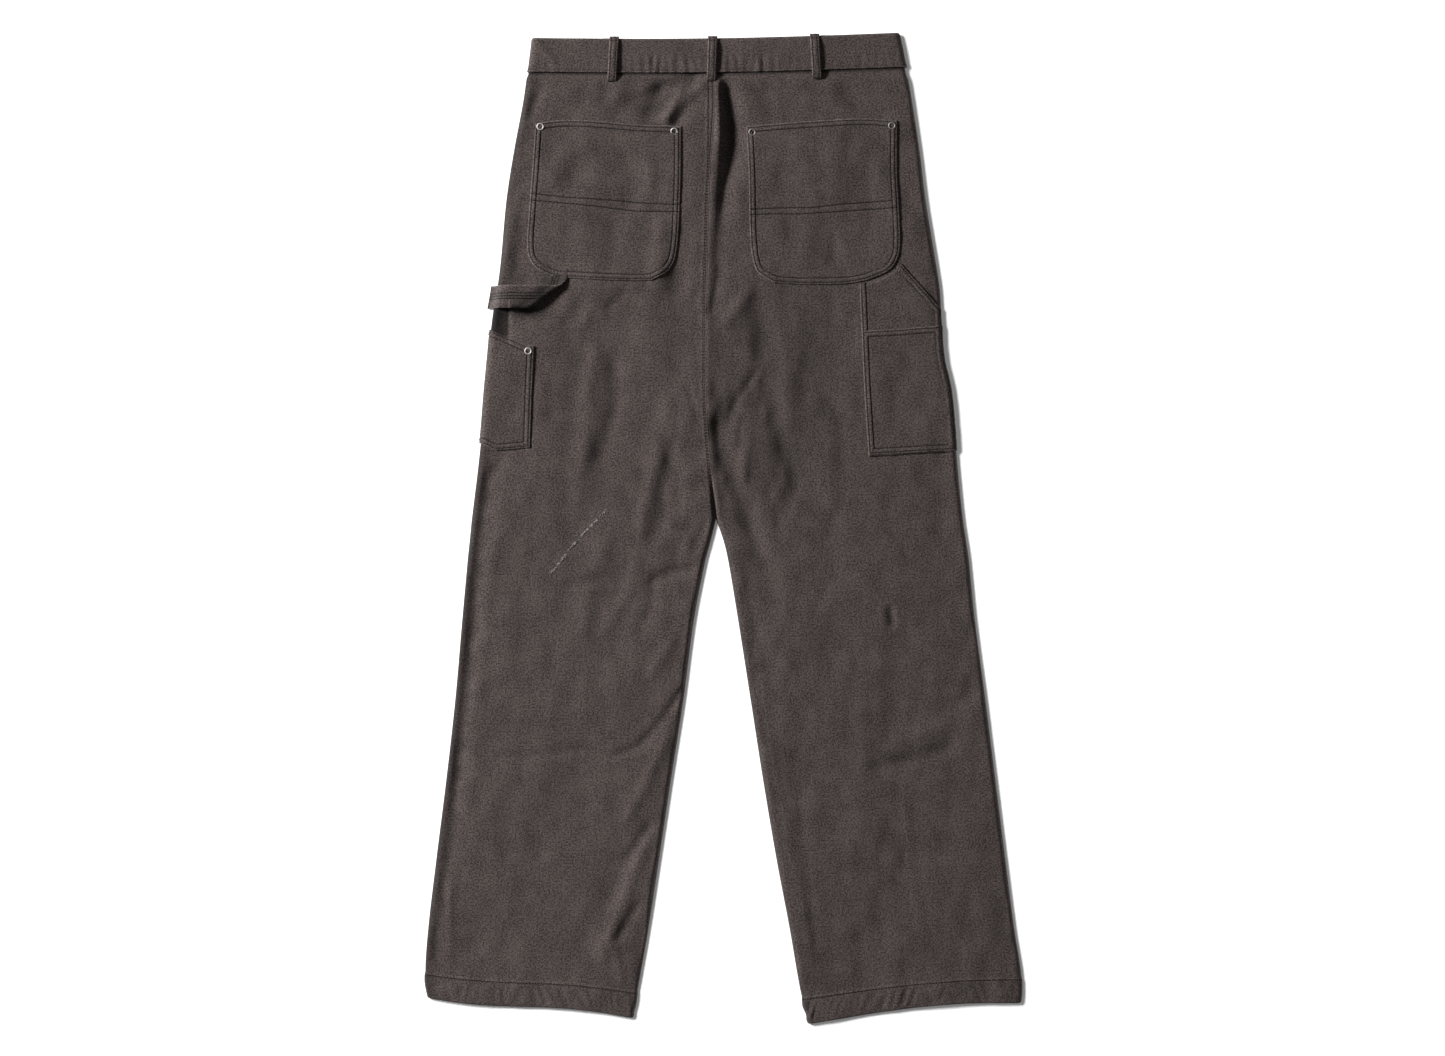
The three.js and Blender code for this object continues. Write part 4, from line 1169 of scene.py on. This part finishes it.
def band_place(s, w):
    """Along the band from the underlap at the centre front, round the back, to the overlap."""
    section = band_section(w)
    width = section["in_x"] - section["out_x"]
    roll = section["roll"]
    arc = width - 2 * roll + np.pi * roll
    centre = FRONT_CENTRE - section["out_x"]
    flat = np.pi / 2 * roll - roll
    start = -(centre + LAP + flat)
    finish = arc + (width - (centre - LAP)) + flat
    run = mix(start, finish, s)
    before, after = run < 0, run > arc
    reach = np.where(before, -run, np.where(after, run - arc, run))
    offset = arc_to_offset(reach, width, roll)
    offset = np.where(after, width - arc_to_offset(reach, width, roll), offset)
    side = np.where(before | after, -1, 1)
    from_centre = offset - centre
    inner = ease(-LAP - 2 - LAP_RAMP, -LAP - 2, from_centre) * before
    rise = LAP_RISE * inner
    x = section["out_x"] + offset
    relief = band_relief(x, w, side) - rise
    x3, y3, z = tube_point(section, side, offset, relief)
    edge = np.minimum(offset, width - offset)
    closing = np.where(edge < roll, 1 - edge / roll, 0)
    return x3, y3, z - closing * side * 0.15, run


def waistband():
    columns, rows = spaced(910, 10, 10, 2, 2.3), spaced(BAND["height"], 5, 3, 0.7, 2.0)

    def place(s, t):
        w = 1 - t
        x, y, z, run = band_place(s, w)
        rise = w * BAND["height"]
        # Painted highlight along the lower edge, painted shade in the sewn row just above it, and a
        # painted highlight along the top edge.
        wear_and_painted_light = 0.5 * bell(rise, 0.7, 0.6) - 0.35 * bell(rise, 2.4, 0.7)
        wear_and_painted_light = wear_and_painted_light + 0.2 * bell(rise, BAND["height"], 2)
        return x, y, z, run, rise, wear_and_painted_light

    cloth_sheet(
        "waistband_strip", "waistband", columns, rows, place, BAND_WALL,
    )


def band_top_y(x):
    u = (x - BAND["upper"][0]) / (BAND["upper"][2] - BAND["upper"][0])
    return mix(BAND["upper"][1], BAND["upper"][3], u) - BAND["sag"] * np.sin(np.pi * u)


LOOP_PATH = table(
    "drop rise",
    (-2, 1.2), (0, 1.9), (4, 2.6), (9, 3.4), (17, 3.9), (25, 3.9), (33, 3.8), (40, 3.6), (44, 3.1),
    (46.5, 2.0), (47.5, 1.0),
)
BACK_LOOPS = {"left": (-120.5, 2.6), "centre": (-12.4, 1.6), "right": (99.4, -2.8)}


def belt_loop(which):
    """Strap standing off the band, bartacked above and below, with a row sewn near each edge."""
    loop_x, slant = BACK_LOOPS[which]
    base = BAND["lift"] + 2 * BAND["roll"] + 0.6

    def surface(across, drop):
        x = loop_x + across - slant * drop / LOOP_LENGTH
        y = band_top_y(loop_x) - drop
        side = np.abs(across)
        rise = read_column(LOOP_PATH, "drop", "rise", drop)
        rise = rise - (0.6 * rise - 0.6) * ease(LOOP_WIDTH / 2 - 1.3, LOOP_WIDTH / 2, side)
        rise = rise - 0.5 * bell(side, LOOP_ROW, 0.6) + 0.3 * bell(across, 0, 1.5)
        rise = rise + 0.15 * soft_noise(across, drop, 3, 6, 51)
        return x, y, base + rise

    def place(s, t):
        across, drop = (s - 0.5) * LOOP_WIDTH, mix(-2.0, LOOP_LENGTH, t)
        x, y, z = surface(across, drop)
        # Painted highlight along the left edge, and painted shade in the two sewn rows and at the
        # folded bottom end.
        wear_and_painted_light = 0.6 * bell(across, 0.9 - LOOP_WIDTH / 2, 0.5)
        wear_and_painted_light = wear_and_painted_light - 0.5 * bell(np.abs(across), LOOP_ROW, 0.6)
        wear_and_painted_light = wear_and_painted_light - 0.5 * bell(drop, LOOP_LENGTH, 2.2)
        return x, y, z, across, -drop, wear_and_painted_light

    columns, rows = spaced(LOOP_WIDTH, 2, 2, 0.5, 0.6), spaced(LOOP_LENGTH, 4, 6, 0.8, 1.4)
    cloth_sheet(
        "belt_loop_strap_" + which, "belt_loop_back_" + which, columns, rows, place, STRAP_PLY,
    )
    rows = []
    for across in (-LOOP_ROW, LOOP_ROW):
        rows.append(([(across, 1.0), (across, LOOP_LENGTH - 3)], raised(surface, 0.06)))
    for drop in (3.0, LOOP_LENGTH - 5.5):
        rows.append(([(-3.6, drop), (3.6, drop)], raised(surface, 0.1)))
    stitch_rows("stitching_belt_loop_" + which, rows)


def front_loop(which, loop_x):
    """Belt loop of the hidden front, pressed flat between the band and the table."""
    top = float(band_top_y(loop_x)) + 2

    def place(s, t):
        across, drop = (s - 0.5) * LOOP_WIDTH, t * FRONT_LOOP_LENGTH
        side = np.abs(across)
        z = 0.25 + 0.5 * ease(LOOP_WIDTH / 2 - 1, LOOP_WIDTH / 2, side)
        z = z + 0.3 * bell(side, LOOP_ROW, 0.6)
        z = z + 0.9 * bell(drop, 0, 1.4) + 0.9 * bell(drop, FRONT_LOOP_LENGTH, 1.4)
        return loop_x - across, top - drop, z, across, -drop, 0 * s

    columns, rows = spaced(LOOP_WIDTH, 2, 2, 0.6, 0.8), spaced(FRONT_LOOP_LENGTH, 4, 4, 1, 2)
    cloth_sheet(
        "front_belt_loop_" + which, "belt_loop_front_" + which, columns, rows, place, PRESSED_PLY,
    )


def fly_strip():
    """Strip of cloth behind the front opening."""

    def place(s, t):
        x, y = s * FLY_WIDTH - 30, 494 - t * FLY_LENGTH
        lift = leg_section(LEGS["left"], (SEAT_SEAM_TOP - y) / (SEAT_SEAM_TOP - CROTCH))["lift"]
        edge = np.minimum(np.minimum(s, 1 - s) * FLY_WIDTH, np.minimum(t, 1 - t) * FLY_LENGTH)
        relief = 1.3 - 0.5 * bell(edge, 0, 0.8) - 0.35 * bell(edge, 5, 0.8)
        return x, y, lift + 1.8 + relief, x, y, 0.5 * bell(edge, 0.6, 0.9)

    columns, rows = spaced(FLY_WIDTH, 7, 7, 1.2, 3), spaced(FLY_LENGTH, 7, 7, 1.2, 3)
    cloth_sheet(
        "fly_underlap_strip", "fly_underlap", columns, rows, place, PRESSED_PLY,
    )


def turned(name, node_name, profile, position, axis, recess, metal):
    """A round metal head, spun from its outline (radius, height) about its axis."""
    form = bmesh.new()
    points = [form.verts.new((radius * MM, 0, height * MM)) for radius, height in profile]
    edges = [form.edges.new(pair) for pair in zip(points[:-1], points[1:])]
    bmesh.ops.spin(
        form, geom=points + edges, cent=(0, 0, 0), axis=(0, 0, 1), angle=2 * math.pi, steps=28,
        use_merge=True,
    )
    bmesh.ops.remove_doubles(form, verts=form.verts, dist=1e-7)
    bmesh.ops.recalc_face_normals(form, faces=form.faces)
    for face in form.faces:
        inside = face.calc_center_median()
        face.material_index = int(math.hypot(inside.x, inside.y) < recess * MM)
    turn = Vector(axis).to_track_quat("Z", "Y").to_matrix().to_4x4()
    bmesh.ops.transform(form, matrix=Matrix.Translation(Vector(position)) @ turn, verts=form.verts)
    mesh = as_mesh(form, name)
    show(name, mesh, metal, "rivet_metal", node_name)
    mesh.materials.append(recess_metal)


RIVETS = {
    "seat_pocket_left_outer": ("left", -201.6, 440.6),
    "seat_pocket_left_inner": ("left", -54.6, 435.6),
    "seat_pocket_right_inner": ("right", 31, 434.6),
    "seat_pocket_right_outer": ("right", 184.4, 441.8),
    "tool_pocket": ("left", -214.8, 194.2),
}
RIVET_OUTLINE = [
    (0.0, 0.6), (0.45, 0.55), (0.7, 0.25), (0.9, 0.0), (1.6, -0.05), (2.3, 0.0), (2.55, 0.75),
    (2.9, 1.15), (3.4, 1.3), (3.9, 1.05), (4.3, 0.45), (4.3, -0.3), (0.0, -0.3),
]


def rivet(name):
    leg_name, x, y = RIVETS[name]
    step = 2.0
    near_x = np.array([x, x + step, x - step, x, x])
    near_y = np.array([y, y, y, y + step, y - step])
    places = to_frame(*on_leg(leg_name, near_x, near_y, POCKET_PLY + 0.15))
    axis = np.cross(places[1] - places[2], places[3] - places[4])
    # The right-hand rivets take a darker copy of the nickel, painted in place of the dark
    # surroundings they reflect.
    metal = nickel_painted_dark_reflection if leg_name == "right" else nickel
    turned("rivet_head_" + name, "rivet_" + name, RIVET_OUTLINE, places[0], axis, 2.4, metal)


def waist_button():
    y = float(band_top_y(FRONT_CENTRE)) - BAND["height"] / 2
    outline = [
        (0, 1.4), (4.6, 1.4), (5.4, 1.0), (6.4, 1.1), (7.2, 1.75), (8.0, 1.8), (8.5, 1.2),
        (8.4, 0.4), (7.6, 0.05), (0, 0.05),
    ]
    place = to_frame(np.array([FRONT_CENTRE]), np.array([y]), np.array([2.1]))[0]
    turned("button_head", "waist_button", outline, place, (0, 0, -1), 5.0, nickel)


SLASH = [
    (-129.9, 19.5), (-139, 9.4), (-155.3, -6.9), (-169.5, -23.1), (-179.7, -37.4), (-189.9, -49.5)
]


def frayed_slash():
    """A thin cut in the left thigh, held shut by the pale broken threads along it."""
    rng = np.random.RandomState(77)
    line = np.array(SLASH)
    along = np.concatenate([[0], np.cumsum(np.hypot(*np.diff(line, axis=0).T))])
    surface = back_face("left")
    rows = []
    for _ in range(FRAYED_COUNT):
        at = rng.uniform(0, along[-1])
        if math.sin(at * 0.9) + math.sin(at * 0.37 + 1) < -0.9:
            continue
        x, y = np.interp(at, along, line[:, 0]), np.interp(at, along, line[:, 1])
        x, y = x + rng.normal(0, 0.55), y + rng.normal(0, 0.55)
        angle = math.radians(49) + rng.normal(0, 0.7)
        reach = rng.uniform(0.7, 2.4)
        dx, dy = reach * math.cos(angle), reach * math.sin(angle)
        rows.append((x - dx, y - dy, x + dx, y + dy, rng.uniform(0, 0.6)))
    form = bmesh.new()
    ends = np.array(rows)
    first = to_frame(*surface(ends[:, 0], ends[:, 1]))
    last = to_frame(*surface(ends[:, 2], ends[:, 3]))
    for start, end, rise in zip(first, last, ends[:, 4]):
        lay_thread(form, start, end, FRAYED_RADIUS, 5, rise)
    show("frayed_threads", as_mesh(form, "frayed_threads"), pale_thread, "canvas")


def seam_stitching():
    """Rows sewn down the felled seat seam and round the hems."""
    left, right = back_face("left"), back_face("right")
    y = np.linspace(494, 20, 160)
    seam = seat_seam_x(y)
    rows = [
        (np.column_stack([row, y]), raised(left, 0.1))
        for row in (seam - fell_width(y) + 1.2, seam - 1.0)
    ]
    for name, surface in (("left", left), ("right", right)):
        leg = LEGS[name]
        v = np.full(60, 2 - HEM_ROW / (CROTCH - leg["hem_out_y"]))
        section = leg_section(leg, v)
        width = section_width(section)
        offset = np.linspace(4, float(width[0]) - 4, 60)
        x, y, _ = tube_point(section, 1, offset, 0 * offset)
        rows.append((np.column_stack([x, y]), raised(surface, STITCH_RISE)))
    stitch_rows("stitching_seams_and_hems", rows)


# Finishes


def set_up(made, **values):
    for name, value in values.items():
        if name in made.inputs:
            made.inputs[name].default_value = value
        else:
            setattr(made, name, value)
    return made


def node(tree, kind, **values):
    return set_up(tree.nodes.new(kind), **values)


def plain_material(name):
    """A new finish, its node tree and its shader."""
    material = bpy.data.materials.new(name)
    material.use_nodes = True
    return material, material.node_tree, material.node_tree.nodes["Principled BSDF"]


def canvas_finish():
    """Brushed, washed canvas: uneven dye, paler flecks, streaks down the warp and a plain weave,
    the dye brightened or darkened by each point's value of wear, painted highlights and painted
    shade.
    """
    material, tree, shader = plain_material("washed canvas")
    link = tree.links.new
    cut = node(tree, "ShaderNodeUVMap", uv_map="UVMap")
    cloud = node(tree, "ShaderNodeTexNoise", Scale=45, Detail=4, Roughness=0.65)
    stretch = node(tree, "ShaderNodeMapping", Scale=(1, 0.12, 1))
    streak = node(tree, "ShaderNodeTexNoise", Scale=420, Detail=2, Roughness=0.6)
    link(stretch.outputs["Vector"], streak.inputs["Vector"])
    fleck = node(tree, "ShaderNodeTexNoise", Scale=560, Detail=3, Roughness=0.75)
    wear_and_painted_light = node(tree, "ShaderNodeAttribute", attribute_name="wear_and_painted_light")

    def weigh(source, share):
        sizes = {"From Min": 0.25, "From Max": 0.75, "To Min": -share, "To Max": share}
        ramp = node(tree, "ShaderNodeMapRange", **sizes)
        link(source.outputs["Fac"], ramp.inputs["Value"])
        return ramp.outputs["Result"]

    def join(operation, first, second):
        maths = node(tree, "ShaderNodeMath", operation=operation)
        link(first, maths.inputs[0])
        if isinstance(second, float):
            maths.inputs[1].default_value = second
        else:
            link(second, maths.inputs[1])
        return maths.outputs[0]

    tone = join("ADD", weigh(cloud, 0.24), weigh(streak, 0.17))
    tone = join("ADD", join("ADD", tone, weigh(fleck, 1.55)), 0.5)
    dye = node(tree, "ShaderNodeMix", data_type="RGBA", A=DYE_DARK, B=DYE_PALE)
    link(tone, dye.inputs["Factor"])
    # The dye is scaled by each point's value, which holds wear, painted highlights and painted
    # shade.
    dye_with_wear_and_painted_light = node(tree, "ShaderNodeVectorMath", operation="SCALE")
    link(dye.outputs["Result"], dye_with_wear_and_painted_light.inputs[0])
    wear_and_painted_light_values = join("ADD", join("MULTIPLY", wear_and_painted_light.outputs["Fac"], WEAR_AND_PAINTED_LIGHT_STRENGTH), 1.0)
    link(wear_and_painted_light_values, dye_with_wear_and_painted_light.inputs["Scale"])
    warp = node(tree, "ShaderNodeTexWave", wave_type="BANDS", bands_direction="X", Scale=500)
    weft = node(tree, "ShaderNodeTexWave", wave_type="BANDS", bands_direction="Y", Scale=500)
    for pattern in (cloud, stretch, fleck, warp, weft):
        link(cut.outputs["UV"], pattern.inputs["Vector"])
    weave = join("MULTIPLY", warp.outputs["Fac"], weft.outputs["Fac"])
    grain = join("ADD", weave, join("MULTIPLY", fleck.outputs["Fac"], 1.2))
    grain = join("ADD", grain, join("MULTIPLY", streak.outputs["Fac"], 0.25))
    bump = node(tree, "ShaderNodeBump", Strength=0.5, Distance=0.00035)
    link(grain, bump.inputs["Height"])
    nap = {"Specular IOR Level": 0.15, "Sheen Weight": 0.12, "Sheen Roughness": 0.5}
    set_up(shader, Roughness=0.92, **nap)
    link(dye_with_wear_and_painted_light.outputs["Vector"], shader.inputs["Base Color"])
    link(bump.outputs["Normal"], shader.inputs["Normal"])
    return material


def plain_finish(name, colour, roughness, metallic, unevenness, speck_scale):
    """Thread or metal with a slightly uneven tone."""
    material, tree, shader = plain_material(name)
    link = tree.links.new
    place = node(tree, "ShaderNodeTexCoord")
    speck = node(tree, "ShaderNodeTexNoise", Scale=speck_scale, Detail=3)
    dark = tuple(c * (1 - unevenness) for c in colour) + (1,)
    pale = tuple(min(c * (1 + unevenness), 1) for c in colour) + (1,)
    tone = node(tree, "ShaderNodeMix", data_type="RGBA", A=dark, B=pale)
    sizes = {"To Min": roughness * 0.75, "To Max": min(roughness * 1.25, 1)}
    rough = node(tree, "ShaderNodeMapRange", **sizes)
    link(place.outputs["Object"], speck.inputs["Vector"])
    link(speck.outputs["Fac"], tone.inputs["Factor"])
    link(tone.outputs["Result"], shader.inputs["Base Color"])
    link(speck.outputs["Fac"], rough.inputs["Value"])
    link(rough.outputs["Result"], shader.inputs["Roughness"])
    set_up(shader, Metallic=metallic, **{"Specular IOR Level": 0.5 if metallic else 0.1})
    return material


canvas = canvas_finish()
thread = plain_finish("dark sewing thread", (0.006, 0.0045, 0.004), 0.9, 0, 0.4, 900)
pale_thread = plain_finish("broken pale thread", (0.27, 0.245, 0.23), 0.85, 0, 0.3, 600)
recess_metal = plain_finish("tarnished recess", (0.02, 0.017, 0.016), 0.7, 1, 0.4, 900)
nickel = plain_finish("dull nickel", (0.42, 0.4, 0.38), 0.62, 1, 0.3, 700)
# A darker copy of the nickel: a painted dark reflection for the right-hand rivets.
nickel_painted_dark_reflection = plain_finish("nickel with painted dark reflection", (0.24, 0.22, 0.21), 0.62, 1, 0.4, 700)


def studio():
    """Pale floor, a soft key light for the garment, one for the floor, a camera straight above."""
    form = bmesh.new()
    bmesh.ops.create_grid(form, x_segments=1, y_segments=1, size=4)
    mesh = as_mesh(form, "floor", smooth=False)
    floor = bpy.data.objects.new("floor", mesh)
    bpy.context.scene.collection.objects.link(floor)
    paper, _, shader = plain_material("pale floor")
    white = {"Base Color": (0.8, 0.8, 0.8, 1), "Emission Color": (1, 1, 1, 1)}
    set_up(shader, Roughness=1, **white, **{"Emission Strength": FLOOR_GLOW})
    mesh.materials.append(paper)

    world = bpy.data.worlds.new("studio")
    world.use_nodes = True
    set_up(world.node_tree.nodes["Background"], Color=(1, 1, 1, 1), Strength=SKY_LIGHT)
    bpy.context.scene.world = world

    for name, at in LAMPS.items():
        lamp = bpy.data.lights.new(name, "AREA")
        lamp.shape = "DISK"
        lamp.size = at["size"]
        lamp.energy = at["energy"]
        stand = bpy.data.objects.new(name, lamp)
        stand.location = at["place"]
        towards = Vector(at["aim"]) - stand.location
        stand.rotation_euler = towards.to_track_quat("-Z", "Y").to_euler()
        bpy.context.scene.collection.objects.link(stand)
        lit = bpy.data.collections.new("lit by " + name)
        stand.light_linking.receiver_collection = lit
        if name == "floor softbox":
            lit.objects.link(floor)

    camera = bpy.data.cameras.new("camera")
    camera.lens = LENS
    camera.sensor_width = SENSOR
    eye = bpy.data.objects.new("camera", camera)
    frame_width = PHOTO_WIDTH * PHOTO_PIXEL * MM
    eye.location = (
        (PHOTO_CENTRE_X + DRAWING_X) * MM,
        DRAWING_Y * MM,
        frame_width * LENS / SENSOR + 0.008,
    )
    bpy.context.scene.collection.objects.link(eye)
    bpy.context.scene.camera = eye
    bpy.context.scene.view_settings.view_transform = "Standard"


studio()
leg_panel("left_back_panel", "back_left", "left", 1)
leg_panel("right_back_panel", "back_right", "right", 1)
leg_panel("left_front_panel", "front_left", "left", -1)
leg_panel("right_front_panel", "front_right", "right", -1)
waistband()
for which in BACK_LOOPS:
    belt_loop(which)
front_loop("left", -128.0)
front_loop("right", 112.0)
seat_pocket("left")
seat_pocket("right")
rule_pockets()
tool_pocket()
hammer_loop()
for which in RIVETS:
    rivet(which)
waist_button()
fly_strip()
seam_stitching()
frayed_slash()

# The key light falls on the garment alone
for piece in bpy.data.objects:
    if piece.type == "MESH" and piece.name != "floor":
        bpy.data.collections["lit by key"].objects.link(piece)
